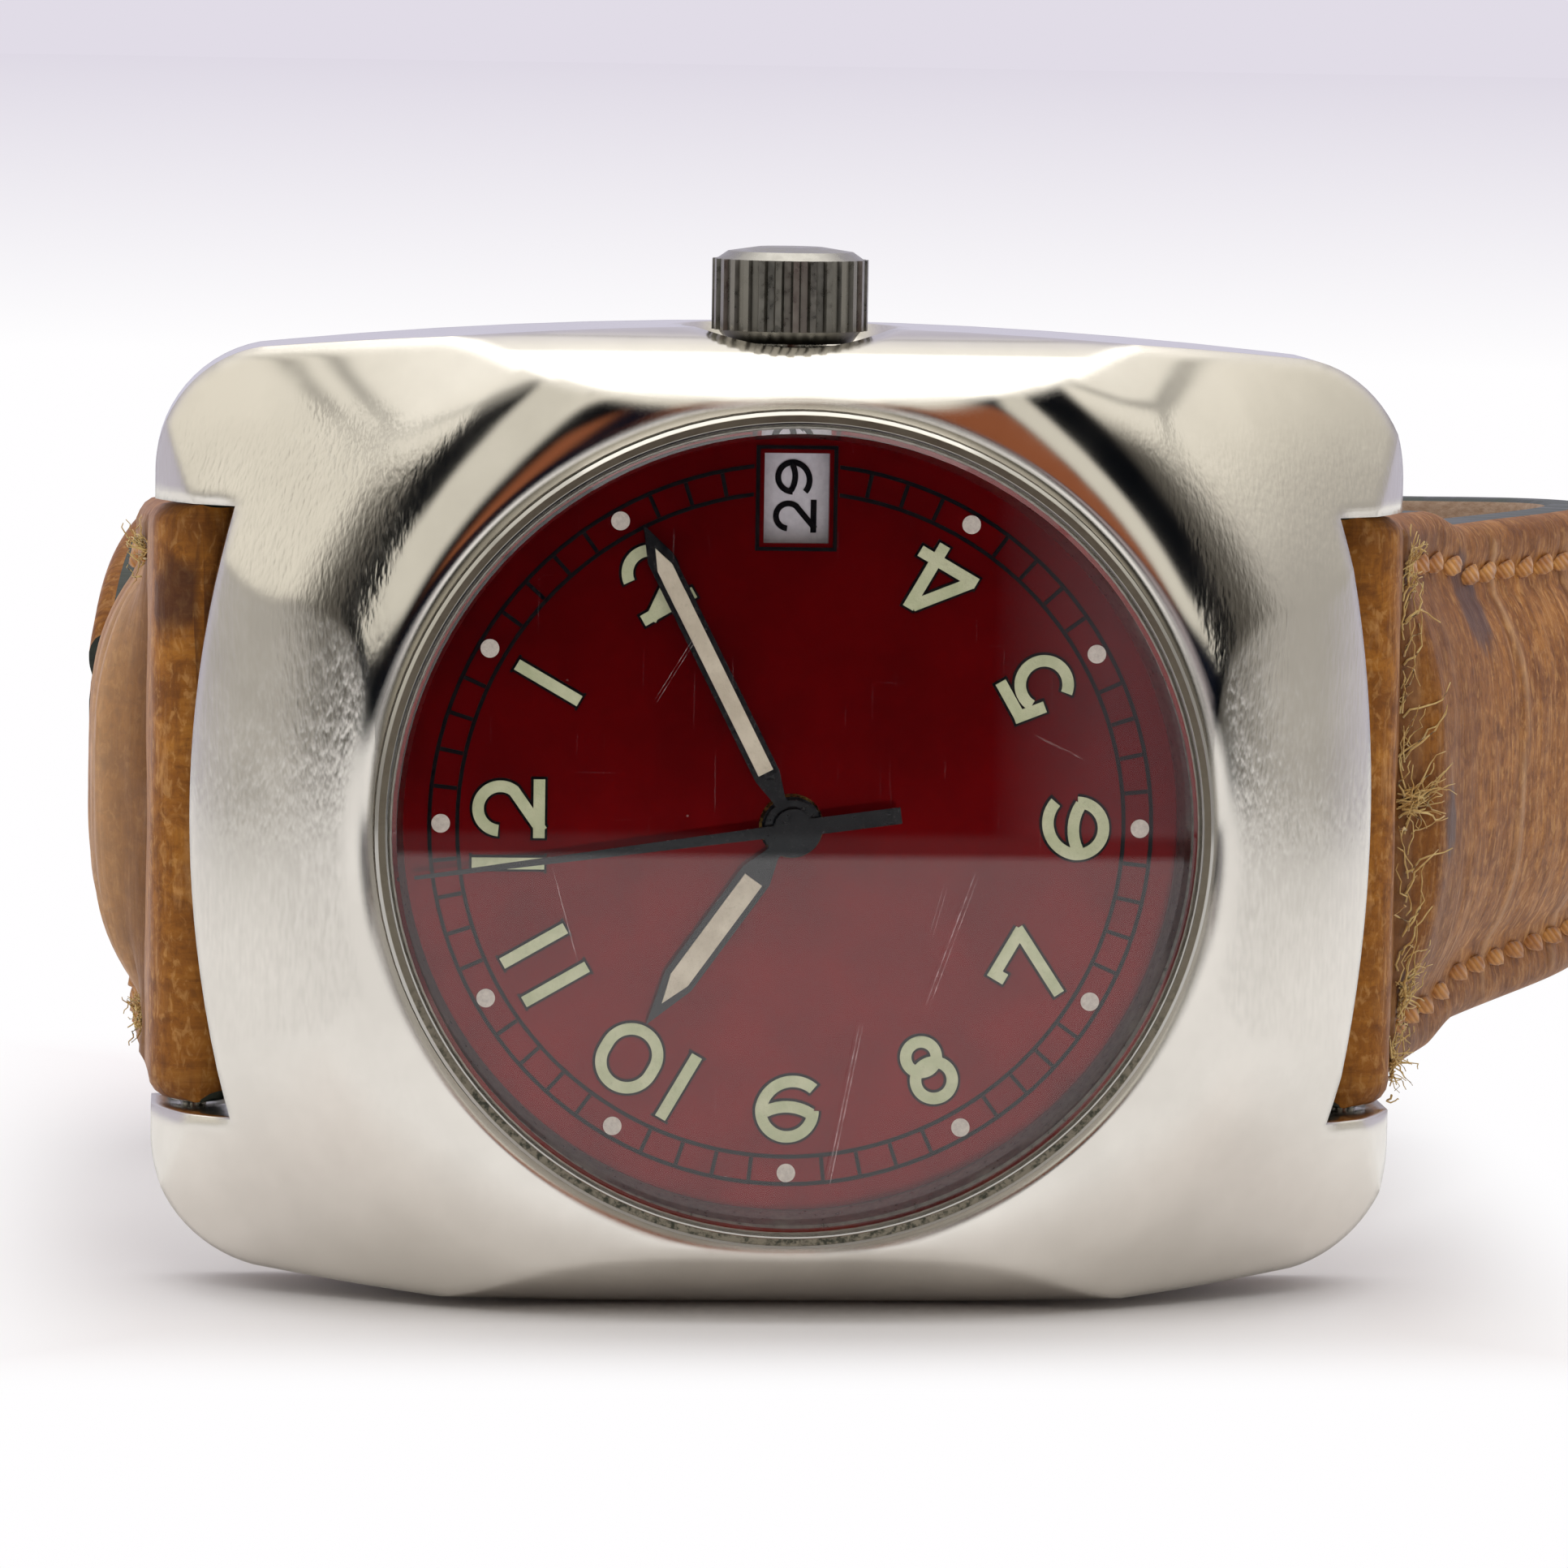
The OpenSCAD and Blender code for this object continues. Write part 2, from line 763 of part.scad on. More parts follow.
module minute_wheel() {
    color(brass)
    placed()
    turned(0, minute_at)
    difference() {
        union() {
            wheel(24, motion_a * 24 / 32, meet(motion_dir, 0, 8, 24), 6.05, 6.3);
            wheel(8, motion_a * 8 / 40, 0, 6.3, 6.8);
        }
        rod(0.25 + fit, 0, 20, 32);
    }
}

module hour_wheel() {
    color(brass)
    placed()
    difference() {
        union() {
            wheel(32, motion_a * 32 / 40, meet(motion_dir + 180, 0, 8, 32), 6.5, 6.75);
            wheel(12, date_a * 12 / 36, 0, 6.75, 7.1);
            rod(hour_tube_r, 6.5, hour_z + 0.2, 64);
        }
        rod(cannon_r + fit, 0, 20, 64);
    }
}

module intermediate_wheel() {
    color(brass)
    placed()
    turned(0, inter_at)
    union() {
        wheel(36, rotor_a * 36 / 42, 0, 3.4, 3.65);
        wheel(6, motor_a * 6 / 36, meet(motor_dir, 0, 30, 6), 2.98, 3.4);
        rod(0.15, bridge_z0 + 0.1, plate_bottom + 0.6, 32);
    }
}

module rotor() {
    color([0.35, 0.35, 0.38])
    placed()
    turned(0, rotor_at)
    union() {
        rod(0.85, 2.92, 3.25, 48);
        wheel(6, rotor_a * 6 / 42, meet(rotor_dir, 0, 36, 6), 3.25, 3.75);
        rod(0.15, bridge_z0 + 0.1, plate_bottom + 0.6, 32);
    }
}

module date_wheel() {
    color(brass)
    placed()
    turned(0, date_at)
    difference() {
        union() {
            wheel(24, date_a * 24 / 36, meet(date_dir, 0, 12, 24), 6.82, 7.02);
            rod(0.9, 7.02, 7.18, 48);
            rotate([0, 0, 75])
                box([0.5, -0.15, 7.02], [4.05, 0.15, 7.15]);
        }
        rod(0.3 + fit, 0, 20, 32);
    }
}

// Date work
ring_z0 = 7.0;
ring_z1 = 7.25;
date_teeth = 31;

module date_ring() {
    color([0.92, 0.92, 0.95])
    placed()
    difference() {
        rod(12.25, ring_z0, ring_z1, 128);
        translate([0, 0, ring_z0 - 1])
            linear_extrude(3)
                polygon([for (i = [0 : date_teeth - 1])
                    for (k = [0 : 2])
                        let (a = 360 / date_teeth * (i + [-0.25, 0, 0.25][k]))
                        let (r = k == 1 ? 8.6 : 8.95)
                        [r * cos(a), r * sin(a)]]);
    }
}

// The figure of the day, readable with twelve o'clock up
module date_figure() {
    color(black)
    placed()
    translate([date_r, 0, ring_z1]) {
        translate([-0.62, 0, 0])
            scale(0.56)
                figure(2, numeral_h / 2 + 0.1, 0.34, 0.05, 0);
        translate([0.64, 0, 0])
            scale(0.56)
                figure(9, numeral_h / 2 + 0.1, 0.34, 0.05, 0);
    }
}

module date_jumper() {
    color(steel)
    placed()
    rotate([0, 0, 84])
    union() {
        box([5.6, -0.35, 6.98], [6.4, 0.35, 7.12]);
        rod_post([6.0, 0], 0.3, plate_top + 0.005, 7.0);
        rotate_extrude(angle = 38, $fn = 96)
            translate([6.2, 6.98])
                square([0.2, 0.14]);
        rotate([0, 0, 37])
            box([6.2, -0.25, 6.98], [8.2, 0.15, 7.12]);
        rotate([0, 0, 37])
            translate([8.2, -0.05, 0])
                rod(0.2, 6.98, 7.12, 24);
    }
}

module rod_post(at, r, z0, z1) {
    translate([at[0], at[1], 0])
        rod(r, z0, z1, 32);
}

// Plates and electric parts
module main_plate() {
    color(brass)
    placed()
    difference() {
        union() {
            rod(plate_r, plate_bottom, plate_top, 128);
            ring(plate_r, 9.5, plate_top - 0.1, ring_z0 - 0.05, 128);
            for (p = pillars)
                rod_post(p, 0.9, bridge_z1 + 0.005, plate_bottom + 0.1);
            box([10.3, -1.5, 3.45], [12.1, 1.5, plate_bottom + 0.1]);
            rod_post(date_at, 0.3, plate_top - 0.1, 7.16);
            rod_post(minute_at, 0.25, plate_top - 0.1, 6.8);
        }
        rod(cannon_r + fit, 0, 20, 64);
        for (p = [third_at, inter_at, rotor_at])
            rod_post(p, 0.15 + fit, 0, 20);
        rod_x(stem_r + fit, 5, 20, 0, stem_z, 48);
        for (p = pillars)
            rod_post(p, 0.3, 1, plate_bottom - 0.4);
    }
}

module train_bridge() {
    color(steel)
    placed()
    difference() {
        rod(12.4, bridge_z0, bridge_z1, 128);
        rod_post(battery_at, battery_d / 2 + 0.35, 0, 5);
        box([0.4, -20, 0], [8.6, -7.6, 5]);
        rod_post([0, 0], arbor_r + fit, 0, 5);
        for (p = [third_at, inter_at, rotor_at])
            rod_post(p, 0.15 + fit, 0, 5);
        for (p = pillars)
            rod_post(p, 0.31, 0, 5);
    }
}

module bridge_screws() {
    color(steel)
    placed()
    for (p = pillars)
        difference() {
            union() {
                rod_post(p, 0.29, bridge_z0 - 0.1, plate_bottom - 0.5);
                rod_post(p, 0.6, bridge_z0 - 0.35, bridge_z0 - 0.005);
            }
            translate([p[0], p[1], 0])
                box([-1, -0.08, 1], [1, 0.08, bridge_z0 - 0.2]);
        }
}

module stator() {
    color([0.5, 0.5, 0.52])
    placed()
    difference() {
        union() {
            box([1.9, -7.4, 2.81], [8.0, -3.6, 3.1]);
            box([1.0, -9.5, 2.81], [2.6, -6.6, 3.1]);
            box([6.6, -9.5, 2.81], [8.0, -6.6, 3.1]);
            box([1.0, -9.5, 3.0], [8.0, -8.5, 3.7]);
        }
        rod_post(rotor_at, 1.0, 0, 5);
        box([rotor_at[0] - 0.1, -8, 2], [rotor_at[0] + 0.1, -6.2, 5]);
        box([inter_at[0] - 1, inter_at[1] - 1, 2], [inter_at[0] + 1.2, inter_at[1] + 1, 5]);
    }
}

module coil() {
    color([0.65, 0.3, 0.12])
    placed()
    difference() {
        union() {
            rod_x(0.95, 2.75, 6.45, -9.0, 3.95, 64);
            rod_x(1.04, 2.65, 2.85, -9.0, 3.95, 64);
            rod_x(1.04, 6.35, 6.55, -9.0, 3.95, 64);
        }
        box([0, -9.51, 3.0], [9, -8.49, 3.71]);
    }
}

module circuit_board() {
    color([0.05, 0.3, 0.15])
    placed()
    difference() {
        intersection() {
            ring(12.25, 8.2, 4.69, 4.99, 96);
            box([-11.5, 3.6, 0], [1.4, 12.4, 20]);
        }
        for (p = pillars)
            rod_post(p, 1.0, 0, 20);
    }
}

module quartz_can() {
    color(steel)
    placed()
    rotate([0, 0, 128])
        translate([9.8, 0, 3.96])
            rotate([90, 0, 0])
                translate([0, 0, -2.6])
                    union() {
                        cylinder(h = 5.2, r = 0.72, $fn = 48);
                        translate([0, 0, 5.1])
                            cylinder(h = 0.4, r = 0.55, $fn = 48);
                    }
}

module battery() {
    color(steel)
    placed()
    turned(0, battery_at)
    union() {
        rod(battery_d / 2, 2.85, 2.85 + battery_h * 0.86, 96);
        rod(battery_d / 2 - 0.45, 2.9, 2.85 + battery_h, 96);
    }
}

module battery_clamp() {
    color(steel)
    placed()
    turned(45, battery_at)
    union() {
        box([-1.2, -0.7, 2.04], [4.8, 0.7, 2.19]);
        box([-1.2, -0.5, 2.1], [-0.6, 0.5, 2.845]);
        translate([4.8, 0, 0])
            rod(0.7, 2.04, 2.19, 48);
    }
}

module setting_yoke() {
    color(steel)
    placed()
    difference() {
        box([8.2, -1.2, 3.35], [8.6, 1.2, 4.5]);
        rod_x(0.34, 5, 20, 0, stem_z, 48);
        box([5, -0.34, stem_z], [20, 0.34, 5]);
    }
}

module movement_ring() {
    color([0.85, 0.85, 0.83])
    placed()
    difference() {
        union() {
            ring(13.12, 12.66, 1.55, dial_bottom - 0.01, 128);
            ring(13.12, 12.3, 4.45, plate_bottom - 0.01, 128);
        }
        box([10, -0.9, 3.3], [15, 0.9, 5.2]);
    }
}

// Strap and buckle
buckle_y = -11.2;
buckle_z = -38.8;
buckle_len = 8.8;
layer_gap = 0.25;
wrap_r = strap_t_lug / 2;

function bez(p, t) = pow(1 - t, 3) * p[0] + 3 * pow(1 - t, 2) * t * p[1]
    + 3 * (1 - t) * t * t * p[2] + pow(t, 3) * p[3];

// Direction of a path at station i
function way(p, i) = let (d = p[min(i + 1, len(p) - 1)] - p[max(i - 1, 0)]) d / norm(d);

// Path of the short half, from its spring bar round the left side to the buckle bar
short_a = [[bar_y, bar_z], [bar_y + 0.15, -1.2], [bar_y + 0.8, -6], [bar_y + 0.8, -15]];
short_b = [[bar_y + 0.8, -15], [bar_y + 0.8, -26], [17, -37.4], [2, -38.6]];
short_c = [[2, -38.6], [-3, -38.85], [-6, buckle_z], [buckle_y + 0.6, buckle_z]];
short_path = concat([for (i = [0 : 9]) bez(short_a, i / 10)],
    [for (i = [0 : 13]) bez(short_b, i / 14)], [for (i = [0 : 5]) bez(short_c, i / 5)]);

// Path of the long half, round the right side, through the buckle and over the short half
buckle_tilt = 7;
function short_t(j) = let (f = min(1, j / 26)) strap_t_lug * (1 - f) + strap_t_end * f;
function layer_off(j) = short_t(j) / 2 + strap_t_end / 2 + layer_gap + 0.12;
long_off = layer_off(28);
long_a = [[-bar_y, bar_z], [-bar_y - 0.3, -1.6], [-bar_y - 2.6, -7], [-bar_y - 7, -15]];
long_b = [[-bar_y - 7, -15], [-bar_y - 10.6, -21.5], [-bar_y - 17.3, -31.9], [-28, -33.6]];
long_c = [[-28, -33.6], [-23, -34.6], [-14, -41.6], [-9.5, buckle_z - long_off]];
tail_n = 17;
long_path = concat([for (i = [0 : 9]) bez(long_a, i / 10)],
    [for (i = [0 : 11]) bez(long_b, i / 12)], [for (i = [0 : 7]) bez(long_c, i / 8)],
    [for (i = [0 : tail_n - 1]) let (j = len(short_path) - 1 - i) let (w = way(short_path, j))
        short_path[j] + layer_off(j) * [-w[1], w[0]]]);

// Half of the strap section at one station, edges rounded
function strap_section(w, t) = [[-w / 2 + 0.9, t / 2], [w / 2 - 0.9, t / 2],
    [w / 2 - 0.25, t / 2 - 0.32], [w / 2, t / 2 - 0.8], [w / 2, -t / 2 + 0.35],
    [w / 2 - 0.35, -t / 2], [-w / 2 + 0.35, -t / 2], [-w / 2, -t / 2 + 0.35],
    [-w / 2, t / 2 - 0.8], [-w / 2 + 0.25, t / 2 - 0.32]];

// Strap body along a path, the outer face on the left hand of the way for side 1
module strap_body(path, side, taper_end, tip) {
    n = len(path);
    k = 10;
    pts = [for (i = [0 : n - 1])
        let (f = min(1, i / taper_end))
        let (e = i > n - 1 - tip ? sqrt(max(0.12, 1 - pow((i - (n - 1 - tip)) / (tip + 0.2), 2))) : 1)
        let (w = ((lug_gap - 0.3) * (1 - f) + strap_end_w * f) * e)
        let (t = strap_t_lug * (1 - f) + strap_t_end * f)
        let (d = way(path, i))
        let (o = side * [-d[1], d[0]])
        for (s = strap_section(w, t))
            [s[0], path[i][0] + o[0] * s[1], path[i][1] + o[1] * s[1]]];
    body_faces = [for (i = [0 : n - 2])
        for (j = [0 : k - 1])
            for (h = [0, 1])
                let (a = i * k + j, b = i * k + (j + 1) % k)
                h == 0 ? [a, b, a + k] : [b, b + k, a + k]];
    caps = [[for (j = [k - 1 : -1 : 0]) j], [for (j = [0 : k - 1]) (n - 1) * k + j]];
    faces = concat(body_faces, caps);
    polyhedron(points = pts, faces = side < 0 ? faces : [for (f = faces) [for (q = [len(f) - 1 : -1 : 0]) f[q]]]);
}

// Anything drawn about the buckle bar, lifted by an angle from the resting tongue
module tongue_turned(a) {
    translate([0, buckle_y, buckle_z])
        rotate([buckle_tilt + 5 + a, 0, 0])
            children();
}

module strap_12() {
    color(tan)
    placed()
    difference() {
        union() {
            strap_body(short_path, 1, 26, 0);
            rod_x(wrap_r - 0.02, -lug_gap / 2 + 0.15, lug_gap / 2 - 0.15, bar_y, bar_z, 64);
            rod_x(strap_t_end / 2 + 0.15, -strap_end_w / 2, strap_end_w / 2, buckle_y, buckle_z, 64);
        }
        rod_x(bar_r + fit, -15, 15, bar_y, bar_z, 64);
        rod_x(0.62, -15, 15, buckle_y, buckle_z, 64);
        box([-1.2, buckle_y - 3, buckle_z - 3], [1.2, buckle_y + 1.7, buckle_z + 3]);
    }
}

module strap_6() {
    color(tan)
    placed()
    difference() {
        union() {
            strap_body(long_path, -1, 24, 4);
            rod_x(wrap_r - 0.02, -lug_gap / 2 + 0.15, lug_gap / 2 - 0.15, -bar_y, bar_z, 64);
        }
        rod_x(bar_r + fit, -15, 15, -bar_y, bar_z, 64);
        // the engaged hole and the free holes
        for (a = [0, 4, 8])
            tongue_turned(a)
                box([-0.8, -buckle_len - 0.8, -1.1], [0.8, -0.3, 0.05]);
        rod_x(1.15, -0.9, 0.9, buckle_y, buckle_z, 48);
        for (y = [-3.5, 2.5, 8.5])
            translate([0, y, -45])
                cylinder(h = y < 5 ? 5.05 : 5.4, r = 0.7, $fn = 32);
    }
}

module spring_bar(y, z, half, r, pin_r, pin) {
    union() {
        rod_x(r, -half, half, y, z, 48);
        rod_x(pin_r, -half - pin, half + pin, y, z, 32);
    }
}

module spring_bar_12() {
    color(steel)
    placed()
    spring_bar(bar_y, bar_z, lug_gap / 2 - 0.1, bar_r, 0.42, 1.2);
}

module spring_bar_6() {
    color(steel)
    placed()
    spring_bar(-bar_y, bar_z, lug_gap / 2 - 0.1, bar_r, 0.42, 1.2);
}

buckle_half = strap_end_w / 2 + 1.2;

module buckle_bar() {
    color(steel)
    placed()
    spring_bar(buckle_y, buckle_z, buckle_half - 0.85, 0.57, 0.4, 1.0);
}

module buckle_frame() {
    color(steel)
    placed()
    difference() {
        translate([0, buckle_y, buckle_z])
            rotate([buckle_tilt, 0, 0])
                union() {
                    for (s = [-1, 1])
                        translate([s * buckle_half, 0, 0])
                            union() {
                                rotate([90, 0, 0])
                                    cylinder(h = buckle_len, r = 0.8, $fn = 48);
                                rotate([0, 90, 0])
                                    translate([0, 0, -0.7])
                                        cylinder(h = 1.4, r = 1.05, $fn = 48);
                            }
                    rod_x(0.8, -buckle_half, buckle_half, -buckle_len, 0, 48);
                    for (s = [-1, 1])
                        translate([s * buckle_half, -buckle_len, 0])
                            sphere(r = 0.8, $fn = 48);
                }
        rod_x(0.42, -buckle_half - 0.25, buckle_half + 0.25, buckle_y, buckle_z, 32);
    }
}

module buckle_tongue() {
    color(steel)
    placed()
    difference() {
        union() {
            rod_x(1.05, -0.8, 0.8, buckle_y, buckle_z, 48);
            tongue_turned(0)
                box([-0.65, -buckle_len - 0.6, -0.95], [0.65, -0.5, -0.1]);
        }
        rod_x(0.62, -3, 3, buckle_y, buckle_z, 48);
    }
}

// Keeper loop round both layers
keeper_half = strap_end_w / 2 + 1.6;

module keeper(y, len_y) {
    difference() {
        box([-keeper_half, y - len_y / 2, buckle_z - long_off - 2.1],
            [keeper_half, y + len_y / 2, buckle_z + 2.5]);
        box([-keeper_half + 0.9, y - len_y / 2 - 1, buckle_z - long_off - 1.25],
            [keeper_half - 0.9, y + len_y / 2 + 1, buckle_z + 1.75]);
    }
}

module fixed_keeper() {
    color(tan)
    placed()
    keeper(-5.6, 4);
}

module free_keeper() {
    color(tan)
    placed()
    keeper(1.2, 4);
}

case_middle();
case_back();
case_back_gasket();
bezel_ring();
crystal();
crystal_gasket();
rehaut();
crown_tube();
crown();
crown_gasket();
winding_stem();
sliding_pinion();
dial();
date_frame();
minute_track();
hour_dots();
numeral_outlines();
numeral_lume();
hour_hand();
hour_hand_lume();
minute_hand();
minute_hand_lume();
seconds_hand();
hour_wheel();
centre_wheel();
third_wheel();
seconds_wheel();
intermediate_wheel();
rotor();
minute_wheel();
date_wheel();
date_ring();
date_figure();
date_jumper();
main_plate();
train_bridge();
bridge_screws();
stator();
coil();
circuit_board();
quartz_can();
battery();
battery_clamp();
setting_yoke();
movement_ring();
spring_bar_12();
spring_bar_6();
strap_12();
strap_6();
fixed_keeper();
free_keeper();
buckle_frame();
buckle_bar();
buckle_tongue();
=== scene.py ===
"""Looks of a steel wristwatch with a red dial on a quilled leather strap."""

import math
import random

import bpy
from mathutils import Matrix, Vector, noise


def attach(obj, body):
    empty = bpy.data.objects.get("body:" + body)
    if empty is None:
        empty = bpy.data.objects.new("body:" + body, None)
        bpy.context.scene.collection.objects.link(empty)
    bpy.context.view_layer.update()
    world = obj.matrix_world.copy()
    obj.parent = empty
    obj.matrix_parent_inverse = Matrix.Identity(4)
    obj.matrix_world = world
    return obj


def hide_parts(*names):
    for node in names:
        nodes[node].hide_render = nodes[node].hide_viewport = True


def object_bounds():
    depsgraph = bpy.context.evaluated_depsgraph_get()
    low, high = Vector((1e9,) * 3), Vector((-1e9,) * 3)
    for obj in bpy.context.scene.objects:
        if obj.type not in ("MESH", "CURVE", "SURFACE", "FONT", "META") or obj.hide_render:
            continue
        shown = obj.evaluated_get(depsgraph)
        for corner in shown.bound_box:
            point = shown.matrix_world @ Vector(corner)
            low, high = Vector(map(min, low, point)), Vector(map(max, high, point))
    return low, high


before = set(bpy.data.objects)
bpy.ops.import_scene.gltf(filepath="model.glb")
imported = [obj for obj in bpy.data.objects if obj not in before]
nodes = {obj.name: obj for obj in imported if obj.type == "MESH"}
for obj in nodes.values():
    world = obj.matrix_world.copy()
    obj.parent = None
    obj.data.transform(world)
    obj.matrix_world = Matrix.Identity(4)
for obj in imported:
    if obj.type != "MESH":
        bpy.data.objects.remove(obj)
cad_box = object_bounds()
MM = 0.001
rng = random.Random(29)


# Camera, lights and stage

# The strap's map covers this many millimetres from 0 to 1.
MAP_SPAN = 100
# The floor's half side and the depth of its haze, in metres.
FLOOR_HALF = 8.0
HAZE = 0.25


def hex_linear(code):
    """An sRGB hex colour as a linear colour with alpha."""
    parts = [int(code[i : i + 2], 16) / 255 for i in (1, 3, 5)]
    return (*[p / 12.92 if p <= 0.04045 else ((p + 0.055) / 1.055) ** 2.4 for p in parts], 1.0)


def camera_at(azimuth, elevation, roll, distance, lens, shift):
    """A camera on a sphere round the frame's origin, turned about its own line of sight."""
    a, e = math.radians(azimuth), math.radians(elevation)
    back = Vector((math.sin(a) * math.cos(e), -math.cos(a) * math.cos(e), math.sin(e)))
    data = bpy.data.cameras.new("photo_camera")
    data.lens = lens
    data.sensor_width = 36
    data.shift_x, data.shift_y = shift
    data.clip_start, data.clip_end = 0.01, 10
    cam = bpy.data.objects.new("photo_camera", data)
    bpy.context.scene.collection.objects.link(cam)
    turn = (-back).to_track_quat("-Z", "Y").to_matrix().to_4x4() @ Matrix.Rotation(math.radians(roll), 4, "Z")
    cam.matrix_world = Matrix.Translation(back * distance) @ turn
    bpy.context.scene.camera = cam


camera_at(azimuth=-4.41, elevation=5.92, roll=0.92, distance=248.6 * MM, lens=170.7, shift=(0.0078, 0.0094))
bpy.context.scene.view_settings.view_transform = "Standard"


# The setting that the mode of each kind of node stands for.
MODES = {"Math": "operation", "VectorMath": "operation", "MapRange": "interpolation_type", "Mix": "data_type",
         "TexWave": "bands_direction", "VectorRotate": "rotation_type"}


def add(tree, kind, *values, named=(), **settings):
    """Adds a shader node, its kind with its mode after a dot. Values go to its live inputs in order and
    named ones to inputs by name; a node given as a value stands for its first live output."""
    kind, _, mode = kind.partition(".")
    node = tree.nodes.new("ShaderNode" + kind)
    if mode:
        settings[MODES[kind]] = mode
    for key, value in settings.items():
        setattr(node, key, value)
    live = [socket for socket in node.inputs if socket.enabled]
    by_name = [(node.inputs[key], value) for key, value in dict(named).items()]
    for socket, value in [*zip(live, values), *by_name]:
        if isinstance(value, bpy.types.Node):
            value = next(out for out in value.outputs if out.enabled)
        if isinstance(value, bpy.types.NodeSocket):
            tree.links.new(value, socket)
        else:
            socket.default_value = value
    return node


def soft_lamp(name, place, target, size, power):
    """A rectangular area lamp that looks at a target."""
    data = bpy.data.lights.new(name, "AREA")
    data.shape = "RECTANGLE"
    data.size, data.size_y = size
    data.energy = power
    lamp = bpy.data.objects.new(name, data)
    bpy.context.scene.collection.objects.link(lamp)
    turn = (Vector(target) - Vector(place)).to_track_quat("-Z", "Y").to_matrix().to_4x4()
    lamp.matrix_world = Matrix.Translation(Vector(place)) @ turn


def new_material(name):
    """An empty material and its node tree."""
    material = bpy.data.materials.new(name)
    material.use_nodes = True
    material.node_tree.nodes.clear()
    return material, material.node_tree


def new_piece(name, verts, faces, materials, kinds=(), uvs=(), marks=(), smooth=True):
    """A piece from points and faces. The strap's map and marks are given point by point, the number of
    the material face by face."""
    mesh = bpy.data.meshes.new(name)
    mesh.from_pydata(verts, [], faces)
    for material in materials:
        mesh.materials.append(material)
    if kinds:
        mesh.polygons.foreach_set("material_index", kinds)
    if uvs:
        layer = mesh.uv_layers.new(name="along_and_across")
        for loop in mesh.loops:
            layer.data[loop.index].uv = uvs[loop.vertex_index]
    if marks:
        marked = mesh.color_attributes.new(name="marks", type="FLOAT_COLOR", domain="POINT")
        for index, mark in enumerate(marks):
            marked.data[index].color = mark
    mesh.validate()
    if smooth:
        mesh.shade_smooth()
    piece = bpy.data.objects.new(name, mesh)
    bpy.context.scene.collection.objects.link(piece)
    return piece


def object_place(tree, scale=(1, 1, 1), turn=(0, 0, 0)):
    """Object coordinates in millimetres, turned and scaled."""
    where = add(tree, "TexCoord").outputs["Object"]
    return add(tree, "Mapping", where, (0, 0, 0), turn, [s / MM for s in scale])


def leather_place(tree, scale=(1, 1)):
    """The strap's own UV map in millimetres: along the strap, then across it."""
    where = add(tree, "TexCoord").outputs["UV"]
    return add(tree, "Mapping", where, (0, 0, 0), (0, 0, 0), (MAP_SPAN * scale[0], MAP_SPAN * scale[1], 1))


def band(tree, value, low, high, soft):
    """1 between two numbers and 0 outside, with soft edges."""
    return add(tree, "Math.MINIMUM", add(tree, "MapRange", value, low - soft, low + soft),
               add(tree, "MapRange", value, high + soft, high - soft))


def coats(tree, tone, *layers):
    """Lays colours over a tone one after another, each where its own mask says."""
    for mask, code in layers:
        tone = add(tree, "Mix.RGBA", mask, tone, hex_linear(code))
    return tone


def two_tone(tree, marks, first, second):
    """A colour that drifts between two near ones with a noise."""
    return coats(tree, hex_linear(first), (add(tree, "MapRange", marks, 0.35, 0.65), second))


def outside(tree, place, half_width, front, back):
    """How far a place lies outside a rectangle on the table, in metres."""
    way = add(tree, "SeparateXYZ", place)
    beside = add(tree, "Math.SUBTRACT", add(tree, "Math.ABSOLUTE", way), half_width)
    before = add(tree, "Math.SUBTRACT", front, way.outputs[1])
    behind = add(tree, "Math.SUBTRACT", way.outputs[1], back)
    return add(tree, "Math.MAXIMUM", beside, add(tree, "Math.MAXIMUM", before, behind))


